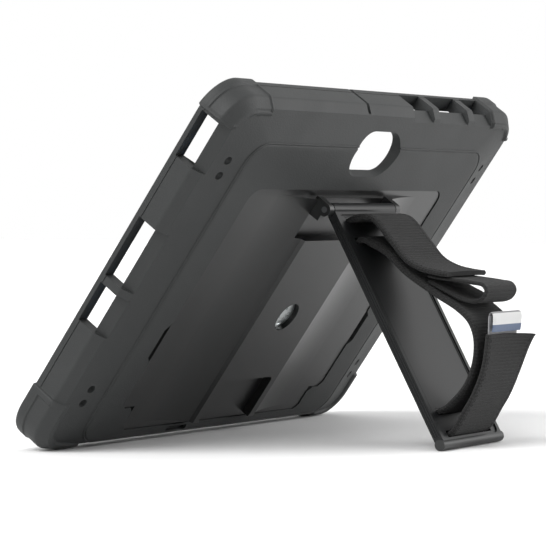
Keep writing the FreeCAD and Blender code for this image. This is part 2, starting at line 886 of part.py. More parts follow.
def stand_up():
    """Turn case and stand into the standing pose, over the origin."""
    hinge = turned((hinge_y, hinge_z), lean)
    shapes = {}
    for name, shape in case_nodes().items():
        placed = shape.copy()
        placed.rotate(Vec(0, 0, 0), Vec(1, 0, 0), lean)
        shapes[name] = placed
    for name, shape in stand_nodes().items():
        placed = shape.copy()
        placed.rotate(Vec(0, 0, 0), Vec(1, 0, 0), -stand_slope)
        placed.translate(Vec(0, hinge[0], hinge[1]))
        shapes[name] = placed
    boxes = [shape.optimalBoundingBox() for shape in shapes.values()]
    y_mid = (min(b.YMin for b in boxes) + max(b.YMax for b in boxes)) / 2
    z_low = min(b.ZMin for b in boxes)
    shift = Vec(0, -y_mid, -z_low)
    for shape in shapes.values():
        shape.translate(shift)
    print("hinge axis at", hinge[0] - y_mid, hinge[1] - z_low)
    print("case turned by", lean, "and moved by", -y_mid, -z_low)
    print("leaf length", leaf_length())
    return shapes


os.makedirs("parts", exist_ok=True)
for node, shape in stand_up().items():
    solids = shape.Solids
    print(node, len(solids), round(shape.Volume), shape.isValid())
    shape.exportStep("parts/" + node + ".step")
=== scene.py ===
# %% [markdown]
# # A rugged tablet case with a kickstand and a hand strap
#
# The real object is a soft charcoal shell round a tablet. A hard panel closes its back,
# a kickstand leaf turns on a pin in that panel, and one elastic strap is threaded
# through slots in the leaf. We build every visible skin here, round a model that
# already holds the sizes, the joint and the hidden solids.
#
# We load that model first. Its pieces stay where they are, so every position below
# is asked from it instead of being typed in.

# %% Load the frame
import json
import math
import random

import bmesh
import bpy
import numpy as np
from mathutils import Matrix, Vector


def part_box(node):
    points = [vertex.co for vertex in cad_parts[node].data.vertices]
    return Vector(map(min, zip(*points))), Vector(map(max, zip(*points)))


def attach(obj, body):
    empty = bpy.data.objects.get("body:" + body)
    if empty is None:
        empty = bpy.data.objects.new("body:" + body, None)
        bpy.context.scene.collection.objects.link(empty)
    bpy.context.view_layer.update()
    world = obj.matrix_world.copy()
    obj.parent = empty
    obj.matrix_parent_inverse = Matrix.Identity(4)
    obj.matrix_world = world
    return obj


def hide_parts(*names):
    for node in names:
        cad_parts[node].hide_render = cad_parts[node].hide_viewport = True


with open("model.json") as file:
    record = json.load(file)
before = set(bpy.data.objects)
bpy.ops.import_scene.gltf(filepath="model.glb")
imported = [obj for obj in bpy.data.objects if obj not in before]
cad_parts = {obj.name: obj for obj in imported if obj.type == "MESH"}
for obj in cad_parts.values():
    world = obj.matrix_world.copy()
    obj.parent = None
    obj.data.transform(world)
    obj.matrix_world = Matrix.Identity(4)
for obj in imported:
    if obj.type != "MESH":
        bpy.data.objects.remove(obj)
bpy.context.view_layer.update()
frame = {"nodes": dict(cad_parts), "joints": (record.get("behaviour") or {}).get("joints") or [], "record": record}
nodes = frame["nodes"]
random.seed(7)

# %% [markdown]
# ## Two workbenches
#
# The case leans back and the stand slopes the other way, and shapes are hard to
# draw on a slope. So we draw each one flat, in millimetres, as it would lie on a bench,
# and one matrix puts it in place. Case bench: X along the long side, Y from the edge it
# stands on up to the camera edge, Z from the back panel's face up to the screen rim.
# Stand bench: Y from the hinge pin down the leaf, Z off the leaf's outer face.
#
# The lean comes from the direction of the screen rim, and the slope of the stand from
# the line between the hinge pin and the foot bar.

# %% Bench matrices
MM = 0.001
rim_height = 21.0
rim_mark_up = 4.0
rim_mark = next(m for m in frame["record"]["mounts"] if m["name"] == "rim_face")
hinge = frame["joints"][0]
lean = math.atan2(-rim_mark["axis"][1], rim_mark["axis"][2])
bench_point = Matrix.Translation((0, -rim_mark_up * MM, -rim_height * MM))
to_case = Matrix.Translation(rim_mark["pos_m"]) @ Matrix.Rotation(lean, 4, "X") @ bench_point
to_case = to_case @ Matrix.Scale(MM, 4)
pin = Vector(hinge["pos_m"])
foot_low, foot_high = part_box("stand_foot")
down_leaf = (foot_low + foot_high) / 2 - pin
slope = math.atan2(-down_leaf.z, down_leaf.y)
to_stand = Matrix.Translation(pin) @ Matrix.Rotation(-slope, 4, "X") @ Matrix.Scale(MM, 4)
print("lean", round(math.degrees(lean), 2), "stand slope", round(math.degrees(slope), 2))


# %% Sizes read from the frame
def bench_box(node, place):
    """Lowest and highest corner of a frame piece on its own bench, in millimetres."""
    back = place.inverted()
    points = np.array([back @ v.co for v in nodes[node].data.vertices])
    return points.min(0), points.max(0)


panel_low, panel_high = bench_box("back_panel", to_case)
leaf_low, leaf_high = bench_box("stand_leaf", to_stand)
half_length = float(bench_box("shell_wall_right", to_case)[1][0])
case_height = float(bench_box("shell_wall_top", to_case)[1][1])
mid_height = case_height / 2
print("half length", round(half_length, 1), "case height", round(case_height, 1))
print("panel", panel_low.round(1), panel_high.round(1))
print("leaf", leaf_low.round(1), leaf_high.round(1))

# %% [markdown]
# ## The camera
#
# The object is seen from behind, far to one side and almost level with the table. A long
# lens keeps the edges nearly parallel, as in a catalogue picture. The camera is placed
# by its direction and distance from the middle of the object.

# %% Camera
view_azimuth = math.radians(121.9)
view_height = math.radians(1.5)
view_distance = 1.256
aim = Vector((0, -0.0343, 0.0785))
lens_mm = 168.0
away = Vector((
    math.sin(view_azimuth) * math.cos(view_height),
    -math.cos(view_azimuth) * math.cos(view_height),
    math.sin(view_height)))
camera_data = bpy.data.cameras.new("camera")
camera = bpy.data.objects.new("camera", camera_data)
bpy.context.scene.collection.objects.link(camera)
camera.location = aim + away * view_distance
camera.rotation_mode = "QUATERNION"
camera.rotation_quaternion = (-away).to_track_quat("-Z", "Y")
camera_data.lens = lens_mm
camera_data.sensor_width = 36.0
camera_data.clip_start = 0.05
camera_data.clip_end = 20.0
bpy.context.scene.camera = camera
print("camera at", [round(v, 3) for v in camera.location])

# %% [markdown]
# ## Floor and light
#
# A pale sweep under the object and wide, soft lamps make the calm light of a studio. A
# square lamp stands to the right, a little behind the object, so the ramp that faces it
# turns light and the other one sinks into black, which is what shows the shape of the
# panel. A sun as wide as a cloudy sky comes from above at the front left and keeps the
# near side readable.

# %% Floor
floor_size = 6.0
floor_drop = 0.0002
floor_corners = [(-floor_size, -floor_size, 0), (floor_size, -floor_size, 0),
                 (floor_size, floor_size, 0), (-floor_size, floor_size, 0)]
floor_mesh = bpy.data.meshes.new("floor")
floor_mesh.from_pydata(floor_corners, [], [(0, 1, 2, 3)])
floor = bpy.data.objects.new("floor", floor_mesh)
bpy.context.scene.collection.objects.link(floor)
floor.location.z = -floor_drop
floor_paint = bpy.data.materials.new("pale_floor")
floor_paint.use_nodes = True
floor_shader = floor_paint.node_tree.nodes["Principled BSDF"]
floor_shader.inputs["Base Color"].default_value = (0.86, 0.86, 0.86, 1)
floor_shader.inputs["Roughness"].default_value = 0.75
floor_mesh.materials.append(floor_paint)
print("floor is", 2 * floor_size, "m wide")


# %% Lamps
def add_lamp(name, kind, shines_along, energy):
    """A lamp of a kind, turned to shine along a direction."""
    data = bpy.data.lights.new(name, kind)
    data.energy = energy
    lamp = bpy.data.objects.new(name, data)
    bpy.context.scene.collection.objects.link(lamp)
    lamp.rotation_mode = "QUATERNION"
    lamp.rotation_quaternion = Vector(shines_along).to_track_quat("-Z", "Y")
    return lamp


right = Vector((-math.cos(math.pi - view_azimuth), math.sin(math.pi - view_azimuth), 0))
middle = Vector((0, 0, 0.08))
side_right, side_behind, side_up = 1.5, 0.3, 0.5
side_place = middle + right * side_right - away * side_behind + Vector((0, 0, side_up))
side_lamp = add_lamp("side_lamp", "AREA", middle - side_place, 9)
side_lamp.data.shape = "SQUARE"
side_lamp.data.size = 0.8
side_lamp.location = side_place
sky_lamp = add_lamp("sky_lamp", "SUN", (-0.9, 0.25, -0.85), 3.7)
sky_lamp.data.angle = math.radians(50)
print("right of the view is", [round(v, 2) for v in right])

# %% [markdown]
# The room round the object is white to the right and behind it, and almost black on the
# other side, like a white studio with one half unlit. A direction is compared with the
# bright side's direction, and a smooth step between the two tones follows. The view
# transform is the plain one, so that a white floor stays white.


# %% Room
def add_node(tree, kind, values=None, **settings):
    """A node of a kind: first its settings, then the values of its own sockets."""
    node = tree.nodes.new(kind)
    for setting, choice in settings.items():
        setattr(node, setting, choice)
    for socket, value in (values or {}).items():
        node.inputs[socket].default_value = value
    return node


room_dark, room_white = 0.06, 1.0
bright_side = (right * 0.8 - away * 0.7 + Vector((0, 0, 0.4))).normalized()
world = bpy.data.worlds.new("studio")
world.use_nodes = True
room = world.node_tree
backdrop = room.nodes["Background"]
facing = add_node(room, "ShaderNodeTexCoord")
compare = add_node(room, "ShaderNodeVectorMath", {1: bright_side}, operation="DOT_PRODUCT")
tone = add_node(
    room, "ShaderNodeMapRange",
    {"From Min": -0.55, "From Max": 0.4, "To Min": room_dark, "To Max": room_white},
    interpolation_type="SMOOTHSTEP")
room.links.new(facing.outputs["Generated"], compare.inputs[0])
room.links.new(compare.outputs["Value"], tone.inputs["Value"])
room.links.new(tone.outputs["Result"], backdrop.inputs["Strength"])
backdrop.inputs["Color"].default_value = (1, 1, 1, 1)
bpy.context.scene.world = world
bpy.context.scene.view_settings.view_transform = "Standard"
print("room goes from", room_dark, "to", room_white)

# %% [markdown]
# ## Finishes
#
# Every finish is made of nodes: a base colour that drifts a little, a roughness that
# is never quite even, and a fine relief from noise at the real grain of the material.
# A few helpers build that core, and each finish below adds what makes it special. The
# patterns use object coordinates in metres, so a noise scale of 1000 has a
# grain of about one millimetre.


# %% Material core
def new_finish(name, colour, roughness, metallic=0.0):
    """A material with plain values: returns it, its node tree and its shader."""
    material = bpy.data.materials.new(name)
    material.use_nodes = True
    shader = material.node_tree.nodes["Principled BSDF"]
    shader.inputs["Base Color"].default_value = (*colour, 1)
    shader.inputs["Roughness"].default_value = roughness
    shader.inputs["Metallic"].default_value = metallic
    return material, material.node_tree, shader


def place_on(tree, source="Object"):
    """Where a point is on its piece: object coordinates, or UV for the piece's own map."""
    return add_node(tree, "ShaderNodeTexCoord").outputs[source]


def noise(tree, scale, detail=2.0):
    """A noise pattern's output."""
    pattern = add_node(tree, "ShaderNodeTexNoise", {"Scale": scale, "Detail": detail})
    tree.links.new(place_on(tree), pattern.inputs["Vector"])
    return pattern.outputs["Fac"]


def spread(tree, value, low, high):
    """Stretches the middle of a pattern, from 0.3 to 0.7, to low..high."""
    reach = {"From Min": 0.3, "From Max": 0.7, "To Min": low, "To Max": high}
    stretch = add_node(tree, "ShaderNodeMapRange", reach)
    tree.links.new(value, stretch.inputs["Value"])
    return stretch.outputs["Result"]


def tint(tree, shader, value, dark, light):
    """Colours the shader between dark and light by a pattern."""
    mix = add_node(
        tree, "ShaderNodeMix", {"A": (*dark, 1), "B": (*light, 1)}, data_type="RGBA")
    tree.links.new(value, mix.inputs["Factor"])
    tree.links.new(mix.outputs["Result"], shader.inputs["Base Color"])


def relief(tree, shader, value, depth_mm, strength=1.0, before=None):
    """Adds a bump of depth_mm millimetres, on top of an earlier bump if there is one."""
    bump = add_node(
        tree, "ShaderNodeBump", {"Distance": depth_mm * MM, "Strength": strength})
    tree.links.new(value, bump.inputs["Height"])
    if before is not None:
        tree.links.new(before, bump.inputs["Normal"])
    tree.links.new(bump.outputs["Normal"], shader.inputs["Normal"])
    return bump.outputs["Normal"]


# %% Moulded finishes
def moulded(name, colour, roughness, grain_mm, depth_mm, drift=0.12, shine=0.5):
    """A moulded plastic or rubber: cloudy tone, uneven gloss and a fine grain."""
    material, tree, shader = new_finish(name, colour, roughness)
    dark = tuple(c * (1 - drift) for c in colour)
    light = tuple(c * (1 + drift) for c in colour)
    tint(tree, shader, spread(tree, noise(tree, 22.0, 4.0), 0, 1), dark, light)
    smear = spread(tree, noise(tree, 60.0, 3.0), roughness - drift / 4, roughness + drift / 4)
    tree.links.new(smear, shader.inputs["Roughness"])
    relief(tree, shader, noise(tree, 1000.0 / grain_mm), depth_mm)
    shader.inputs["Specular IOR Level"].default_value = shine
    return material


soft_rubber = moulded("soft_shell_rubber", (0.022, 0.0235, 0.0235), 0.60, 0.8, 0.12, 0.08, 0.4)
panel_plastic = moulded("satin_panel", (0.008, 0.0085, 0.0085), 0.32, 0.6, 0.025, 0.04)
leaf_plastic = moulded("leaf_plastic", (0.008, 0.0085, 0.009), 0.3, 0.5, 0.008, 0.03, 0.28)
foot_plastic = moulded("foot_plastic", (0.014, 0.015, 0.015), 0.45, 0.4, 0.02, 0.05)
band_plastic = moulded("band_plastic", (0.085, 0.090, 0.094), 0.5, 0.6, 0.03)
liner_plastic = moulded("liner_plastic", (0.018, 0.020, 0.024), 0.55, 0.5, 0.03)
pad_rubber = moulded("pad_rubber", (0.105, 0.345, 0.84), 0.48, 0.7, 0.03, 0.06)
print("moulded finishes made")

# %% [markdown]
# Steel parts have fine brushed lines. A noise that is pulled long in one direction
# looks like them, and it drives the gloss, the tone and a very fine relief together.


# %% Steel
def brushed_steel(name, colour, roughness, stretch):
    """Metal with a noise that is pulled long along the small numbers of stretch."""
    material, tree, shader = new_finish(name, colour, roughness, 1.0)
    pull = add_node(tree, "ShaderNodeMapping", {"Scale": stretch})
    lines = add_node(tree, "ShaderNodeTexNoise", {"Scale": 1.0, "Detail": 3.0})
    tree.links.new(place_on(tree), pull.inputs["Vector"])
    tree.links.new(pull.outputs["Vector"], lines.inputs["Vector"])
    brushed = lines.outputs["Fac"]
    gloss = spread(tree, brushed, roughness - 0.08, roughness + 0.12)
    tree.links.new(gloss, shader.inputs["Roughness"])
    tint(tree, shader, spread(tree, brushed, 0, 1), tuple(c * 0.8 for c in colour), colour)
    relief(tree, shader, brushed, 0.02)
    return material


bright_steel = brushed_steel("bright_steel", (0.72, 0.75, 0.75), 0.3, (300, 6000, 6000))
dark_steel = brushed_steel("blackened_steel", (0.16, 0.165, 0.17), 0.38, (300, 5000, 5000))
print("steel finishes made")

# %% [markdown]
# Foam is a mass of tiny open cells. A cell pattern paints shade into the pits between
# lighter walls, and the same pattern drives the relief.


# %% Foam finish
def foam_finish():
    """Open-cell foam: painted shade darkens the pits, and the walls stay lighter."""
    material, tree, shader = new_finish("open_cell_foam", (0.03, 0.03, 0.03), 0.95)
    cells = add_node(tree, "ShaderNodeTexVoronoi", {"Scale": 900.0})
    pit_shade = add_node(tree, "ShaderNodeMapRange", {"From Min": 0.15, "From Max": 0.75})
    tree.links.new(place_on(tree), cells.inputs["Vector"])
    tree.links.new(cells.outputs["Distance"], pit_shade.inputs["Value"])
    # Painted shade: the cell pattern makes the pits dark and the walls light.
    tint(tree, shader, pit_shade.outputs["Result"], (0.010, 0.010, 0.011), (0.085, 0.085, 0.088))
    relief(tree, shader, cells.outputs["Distance"], 0.35)
    shader.inputs["Sheen Weight"].default_value = 0.15
    return material


foam = foam_finish()
print("foam finish made")

# %% [markdown]
# The strap is woven elastic with a fleece that hooks grab. It has cross ribs, a fuzz
# of loose loops and a soft sheen at grazing angles. Its patterns follow the strap
# itself, so they use the strap's own map: U runs along the strap and V across
# it, both in metres. A wave pattern of scale 1 has about 3.2 bands in one unit, which
# turns a rib's width in millimetres into a scale.

# %% Woven finishes
bands_in_unit = 3.2
thread_mm = 0.8


def woven(name, dark, light, rib_mm, rib_depth, fuzz_mm, sheen):
    """Ribbed webbing: cross ribs and crosswise threads with a fuzz over both, and painted shade in their grooves.
    """
    material, tree, shader = new_finish(name, light, 0.92)
    ribs = add_node(
        tree, "ShaderNodeTexWave",
        {"Scale": 1000.0 / rib_mm / bands_in_unit, "Distortion": 1.2, "Detail": 2.0},
        wave_profile="SIN", bands_direction="X")
    threads = add_node(
        tree, "ShaderNodeTexWave",
        {"Scale": 1000.0 / thread_mm / bands_in_unit, "Distortion": 2.0}, bands_direction="Y")
    both = add_node(tree, "ShaderNodeMath", operation="MULTIPLY")
    for k, wave in enumerate((ribs, threads)):
        tree.links.new(place_on(tree, "UV"), wave.inputs["Vector"])
        tree.links.new(wave.outputs["Fac"], both.inputs[k])
    fuzz = noise(tree, 1000.0 / fuzz_mm, 3.0)
    groove_shade_and_fuzz = add_node(tree, "ShaderNodeMath", {1: 0.6}, operation="MULTIPLY_ADD")
    tree.links.new(both.outputs["Value"], groove_shade_and_fuzz.inputs[0])
    tree.links.new(fuzz, groove_shade_and_fuzz.inputs[2])
    # Painted shade: the colour is darkest where the ribs and threads dip, and the fuzz noise makes the tone
    # uneven.
    tint(tree, shader, spread(tree, groove_shade_and_fuzz.outputs["Value"], 0, 1), dark, light)
    first = relief(tree, shader, both.outputs["Value"], rib_depth)
    relief(tree, shader, fuzz, 0.22, 0.8, first)
    shader.inputs["Sheen Weight"].default_value = sheen
    shader.inputs["Sheen Roughness"].default_value = 0.6
    shader.inputs["Specular IOR Level"].default_value = 0.2
    return material


strap_weave = woven("strap_weave", (0.004,) * 3, (0.022,) * 3, 1.6, 0.25, 0.55, 0.05)
thread = woven("stitch_thread", (0.008,) * 3, (0.026,) * 3, 0.5, 0.1, 0.4, 0.08)
print("woven finishes made")

# %% [markdown]
# The woven tag at the strap's end is a narrow tape with plain colour bands. The bands
# lie along the tape, so one coordinate of the tag's own map picks the colour through a
# ramp with hard steps.


# %% Tag tape
def tape_finish():
    """Plain bands across the tape: grey inside and on the fold, pale, then slate blue."""
    material, tree, shader = new_finish("tag_tape", (0.8, 0.8, 0.8), 0.85)
    split = add_node(tree, "ShaderNodeSeparateXYZ")
    ramp = add_node(tree, "ShaderNodeValToRGB")
    ramp.color_ramp.interpolation = "CONSTANT"
    bands = ((0.0, (0.30, 0.30, 0.31)), (0.46, (0.16, 0.16, 0.165)), (0.60, (0.55, 0.55, 0.55)),
             (0.84, (0.07, 0.10, 0.17)))
    points = ramp.color_ramp.elements
    while len(points) < len(bands):
        points.new(0.5)
    for point, (at, colour) in zip(points, bands):
        point.position = at
        point.color = (*colour, 1)
    tree.links.new(place_on(tree, "UV"), split.inputs["Vector"])
    tree.links.new(split.outputs["X"], ramp.inputs["Fac"])
    tree.links.new(ramp.outputs["Color"], shader.inputs["Base Color"])
    relief(tree, shader, noise(tree, 2500.0), 0.08)
    shader.inputs["Sheen Weight"].default_value = 0.2
    return material


tag_tape = tape_finish()
print("tag tape made")

# %% [markdown]
# ## Mesh tools
#
# Moulded shapes are easiest as lofts: a row of closed rings, each with the same
# number of points, joined by strips of four-sided faces and closed by a cap at each
# end. After them come the tools that every piece needs: to bake modifiers, to turn
# faces outwards, to shade and round edges, to cut, and to dress a finished piece.


# %% Lofts and blocks
def add_piece(name, mesh):
    """A mesh as an object in the scene."""
    piece = bpy.data.objects.new(name, mesh)
    bpy.context.scene.collection.objects.link(piece)
    return piece


def piece_from(name, points, faces):
    """A mesh object from points and faces, still in bench millimetres."""
    mesh = bpy.data.meshes.new(name)
    mesh.from_pydata([tuple(p) for p in points], [], [tuple(f) for f in faces])
    mesh.validate()
    return add_piece(name, mesh)


def join_rings(rings):
    """Points and faces of a closed loft through rings of equal length."""
    count = len(rings[0])
    points = [p for ring in rings for p in ring]
    faces = []
    for i in range(len(rings) - 1):
        here, there = i * count, (i + 1) * count
        for k in range(count):
            n = (k + 1) % count
            faces.append((here + k, here + n, there + n, there + k))
    faces.append(tuple(reversed(range(count))))
    start = (len(rings) - 1) * count
    faces.append(tuple(range(start, start + count)))
    return points, faces


def gather(shapes):
    """Points and faces of several small shapes as those of one."""
    points, faces = [], []
    for shape_points, shape_faces in shapes:
        faces += [tuple(k + len(points) for k in f) for f in shape_faces]
        points += shape_points
    return points, faces


def prism(name, outline, low, high, axis="z"):
    """A closed block: an outline drawn in a plane, run from low to high along an axis."""
    order = {"z": lambda u, v, w: (u, v, w), "y": lambda u, v, w: (u, w, v),
             "x": lambda u, v, w: (w, u, v)}[axis]
    rings = [[order(u, v, w) for u, v in outline] for w in (low, high)]
    return piece_from(name, *join_rings(rings))


def arc(cx, cy, radius, start, turn, steps):
    """Points on a part of a circle, from an angle on, in equal steps."""
    angles = [math.radians(start + turn * i / steps) for i in range(steps + 1)]
    return [(cx + radius * math.cos(a), cy + radius * math.sin(a)) for a in angles]


def round_rect(x0, x1, y0, y1, radius, steps):
    """A rectangle with round corners as a list of points, starting at the lower right."""
    points = []
    middles = ((x1 - radius, y0 + radius, -90), (x1 - radius, y1 - radius, 0),
               (x0 + radius, y1 - radius, 90), (x0 + radius, y0 + radius, 180))
    for cx, cy, start in middles:
        points += arc(cx, cy, radius, start, 90, steps)
    return points


# %% Faces and edges
def apply_modifiers(piece):
    """Bakes the modifiers into the mesh."""
    shape = piece.evaluated_get(bpy.context.evaluated_depsgraph_get())
    mesh = bpy.data.meshes.new_from_object(shape)
    piece.modifiers.clear()
    piece.data = mesh


def face_outwards(piece):
    """Turns all faces to point outwards."""
    work = bmesh.new()
    work.from_mesh(piece.data)
    bmesh.ops.recalc_face_normals(work, faces=work.faces)
    work.to_mesh(piece.data)
    work.free()


def smooth_by_angle(piece, degrees):
    """Smooth shading that stays crisp at edges sharper than degrees."""
    for face in piece.data.polygons:
        face.use_smooth = True
    piece.data.set_sharp_from_angle(angle=math.radians(degrees))


def round_edges(piece, width, degrees):
    """A bevel on every sharp edge, then normals weighted by face size."""
    bevel = piece.modifiers.new("rounded_edges", "BEVEL")
    bevel.width = width
    bevel.segments = 2
    bevel.limit_method = "ANGLE"
    bevel.angle_limit = math.radians(degrees)
    bevel.use_clamp_overlap = True
    bevel.miter_outer = "MITER_ARC"
    even = piece.modifiers.new("even_shading", "WEIGHTED_NORMAL")
    even.keep_sharp = True


# %% Cut and dress
def subtract(piece, cutters):
    """Cuts closed shapes out of a piece, one exact boolean for each, and removes them."""
    for cutter in cutters:
        face_outwards(cutter)
        cut = piece.modifiers.new("cut", "BOOLEAN")
        cut.operation = "DIFFERENCE"
        cut.solver = "EXACT"
        cut.object = cutter
        bpy.context.view_layer.update()
        apply_modifiers(piece)
        bpy.data.objects.remove(cutter)


def dress(piece, body, slot, finish, *stands_for):
    """Gives a piece its finish, and lets it move with its body. The slot is not used."""
    piece.data.materials.clear()
    piece.data.materials.append(finish)
    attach(piece, body)
    if stands_for:
        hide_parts(*stands_for)
    print(piece.name, "has", len(piece.data.polygons), "faces")


def finish_piece(piece, to_place, degrees):
    """Turns a drawn piece's faces outwards, puts it in place and shades it."""
    face_outwards(piece)
    piece.data.transform(to_place)
    smooth_by_angle(piece, degrees)
    return piece


# %% [markdown]
# ## The soft shell
#
# The shell is one moulding of rubbery plastic. Going round its section: a small lip holds
# the tablet, a flat rim protects the glass, the side drops with a fine parting groove,
# a blunt shoulder turns into the back margin, and the margin sweeps up to a raised
# field with a thin line round it. Inside, the wall runs down to a dished floor.
#
# One section that travels round a rounded rectangle gives all of that in one
# skin. The four corners then get thicker pads: we push the skin outwards there,
# with a crisp step at the pad's edge and a shallow sunk panel in its middle.

# %% Shell section
corner_radius = 17.0
wall = 6.5
lip_inset = 8.0
lip_low = 19.0
shoulder_up = 8.0
shoulder_inset = 3.6
shoulder_back = 3.8
groove_low = 17.0
groove_high = 17.6
groove_depth = 0.4
floor_up = 3.2
floor_edge_up = 5.8
floor_slope = 26.0
field_rise = 0.5
side_steps = 10


def filleted(corners, steps=5):
    """A path through (inset, z, radius) corners, with each corner rounded."""
    path = [corners[0][:2]]
    for before, here, after in zip(corners, corners[1:], corners[2:]):
        a = Vector(here[:2])
        to_before = (Vector(before[:2]) - a)
        to_after = (Vector(after[:2]) - a)
        half = to_before.angle(to_after) / 2
        reach = min(here[2] / math.tan(half), to_before.length / 2.1, to_after.length / 2.1)
        start = a + to_before.normalized() * reach
        end = a + to_after.normalized() * reach
        for i in range(steps + 1):
            t = i / steps
            point = start * (1 - t) ** 2 + a * 2 * t * (1 - t) + end * t ** 2
            path.append(tuple(point))
    path.append(corners[-1][:2])
    return path


outer_section = filleted((
    (lip_inset, lip_low, 0), (lip_inset, rim_height, 0.8), (0.0, rim_height, 1.6),
    (0.0, groove_high, 0.15), (groove_depth, groove_high - 0.2, 0.1),
    (groove_depth, groove_low + 0.2, 0.1), (0.0, groove_low, 0.15),
    (0.0, shoulder_up, 2.4), (shoulder_inset, shoulder_back, 0)))
side_top, side_bottom = groove_low - 0.3, shoulder_up + 2.6
side_levels = [side_top - (side_top - side_bottom) * k / side_steps for k in range(side_steps + 1)]
above = [q for q in outer_section if q[1] > side_top + 0.1]
below = [q for q in outer_section if q[1] < side_bottom - 0.1]
outer_section = above + [(0.0, level) for level in side_levels] + below
inner_section = filleted((
    (lip_inset, lip_low, 0), (wall, lip_low, 0.2), (wall, floor_edge_up, 1.5),
    (wall + floor_slope, floor_up, 0)), 3)
print("section points", len(outer_section), len(inner_section))

# %% Rings round the case
corner_steps = 30
long_steps, short_steps = 140, 100
pad_edge_marks = [8.2 + 0.45 * k for k in range(12)]
mark_gap = 0.4


def side_shares(steps, length):
    """Places along a side, from 0 to 1: even ones, and closer ones at the corner pads' edges."""
    close = [mark / length for mark in pad_edge_marks]
    apart = mark_gap / length
    even = [i / steps for i in range(1, steps)]
    even = [t for t in even if not close[0] - apart < min(t, 1 - t) < close[-1] + apart]
    return sorted(even + close + [1 - t for t in close])


long_shares = side_shares(long_steps, 2 * (half_length - corner_radius))
short_shares = side_shares(short_steps, case_height - 2 * corner_radius)


def dense_ring(x0, x1, y0, y1, radius, z):
    """A rounded rectangle with the same number of points at any size."""
    points = []
    runs = (((x1 - radius, y0 + radius), -90, short_shares),
            ((x1 - radius, y1 - radius), 0, long_shares),
            ((x0 + radius, y1 - radius), 90, short_shares),
            ((x0 + radius, y0 + radius), 180, long_shares))
    for (cx, cy), start, shares in runs:
        points += [(u, v, z) for u, v in arc(cx, cy, radius, start, 90, corner_steps)]
        nx, ny = {-90: (x1, y1 - radius), 0: (x0 + radius, y1),
                  90: (x0, y0 + radius), 180: (x1 - radius, y0)}[start]
        px, py = points[-1][:2]
        for t in shares:
            points.append((px + (nx - px) * t, py + (ny - py) * t, z))
    return points


def case_ring(inset, z):
    """The case's outline moved in by inset, at height z."""
    radius = max(corner_radius - inset, 2.0)
    return dense_ring(-half_length + inset, half_length - inset, inset, case_height - inset, radius, z)


field_side = 25.0
field_top = 19.6
field_bottom = 8.0
field_radius = 12.0
line_width = 0.9
margin_up, margin_bow, margin_steps = 0.25, 0.175, 22
line_bead = ((0.75, -0.15), (0.45, -0.32), (0.15, -0.22), (0.0, 0.1), (-0.3, 0.1))
field_edge = ((-0.6, -field_rise * 0.6), (-1.3, -field_rise), (-3.0, -field_rise))


def field_ring(grow, z):
    """The raised field's outline on the back, moved out by grow."""
    return dense_ring(
        -half_length + field_side - grow, half_length - field_side + grow,
        field_bottom - grow, case_height - field_top + grow, field_radius + grow, z)


outer_rings = [case_ring(inset, z) for inset, z in outer_section]
last_ring = np.array(case_ring(shoulder_inset, shoulder_back))
line_start = np.array(field_ring(line_width, margin_up))
for i in range(1, margin_steps + 1):
    t = i / margin_steps
    ring = last_ring * (1 - t) + line_start * t
    ring[:, 2] += margin_bow * math.sin(math.pi * t)
    outer_rings.append([tuple(p) for p in ring])
outer_rings += [field_ring(grow, z) for grow, z in line_bead + field_edge]
inner_rings = [case_ring(inset, z) for inset, z in inner_section[1:-1]]
inner_rings.append(dense_ring(
    -half_length + wall + floor_slope, half_length - wall - floor_slope,
    wall + floor_slope, case_height - wall - floor_slope, field_radius, floor_up))
shell_rings = list(reversed(outer_rings)) + inner_rings
print(len(shell_rings), "rings of", len(shell_rings[0]), "points")

# %% Corner pads
pad_proud = 1.2
pad_long = 29.0
pad_end_top = 14.0
pad_end_bottom = 29.0
pad_depth = 6.5
pad_step = 0.9
sunk_margin = 3.2
sunk_depth = 0.6
sunk_step = 0.5
sunk_top = groove_low - 1.2
sunk_top_step = 0.6


def step(value, width):
    """0 to 1 as value passes 0, over a short width."""
    t = min(max(value / width + 0.5, 0.0), 1.0)
    return t * t * (3 - 2 * t)


def inset_at(x, y):
    """How far a point is inside the case's outline."""
    dx = abs(x) - (half_length - corner_radius)
    dy = abs(y - mid_height) - (mid_height - corner_radius)
    if dx > 0 and dy > 0:
        return corner_radius - math.hypot(dx, dy)
    return corner_radius - max(dx, dy)


def corner_share(x, y, shrink, width):
    """1 on the corner pads, 0 off them; shrink pulls their edges in."""
    along = abs(x) - (half_length - pad_long) - shrink
    if y > mid_height:
        across = y - (case_height - pad_end_top) - shrink
    else:
        across = pad_end_bottom - y - shrink
    deep = pad_depth - shrink - inset_at(x, y)
    return step(along, width) * step(across, width) * step(deep, width)


# %% Shell body
points, faces = join_rings(shell_rings)
shell = piece_from("soft_shell", points, faces)
face_outwards(shell)
ring_size = len(shell_rings[0])
outer_count = ring_size * len(outer_rings)
normals = np.zeros(len(shell.data.vertices) * 3)
shell.data.vertices.foreach_get("normal", normals)
normals = normals.reshape(-1, 3)
for vertex, normal in zip(list(shell.data.vertices)[:outer_count], normals):
    x, y, z = vertex.co
    if inset_at(x, y) > pad_depth + 2 or z > rim_height - 0.4:
        continue
    push = pad_proud * corner_share(x, y, 0.0, pad_step)
    margin = sunk_margin if y < mid_height else sunk_margin * 0.6
    push -= sunk_depth * corner_share(x, y, margin, sunk_step) * step(sunk_top - z, sunk_top_step)
    vertex.co += Vector(normal) * push
print("shell skin before cutting:", len(shell.data.polygons), "faces")

# %% [markdown]
# ### Openings
#
# The openings are cut with closed blocks, the way a mould's inserts leave them. Each
# port is one block: a straight hole in the side and, below it, a slanted ledge that
# gives a plug's grip some room. The camera window is wider outside than inside. A
# boolean keeps every edge of the cut exact, and a narrow bevel afterwards gives
# the edges the small radius that catches the light.

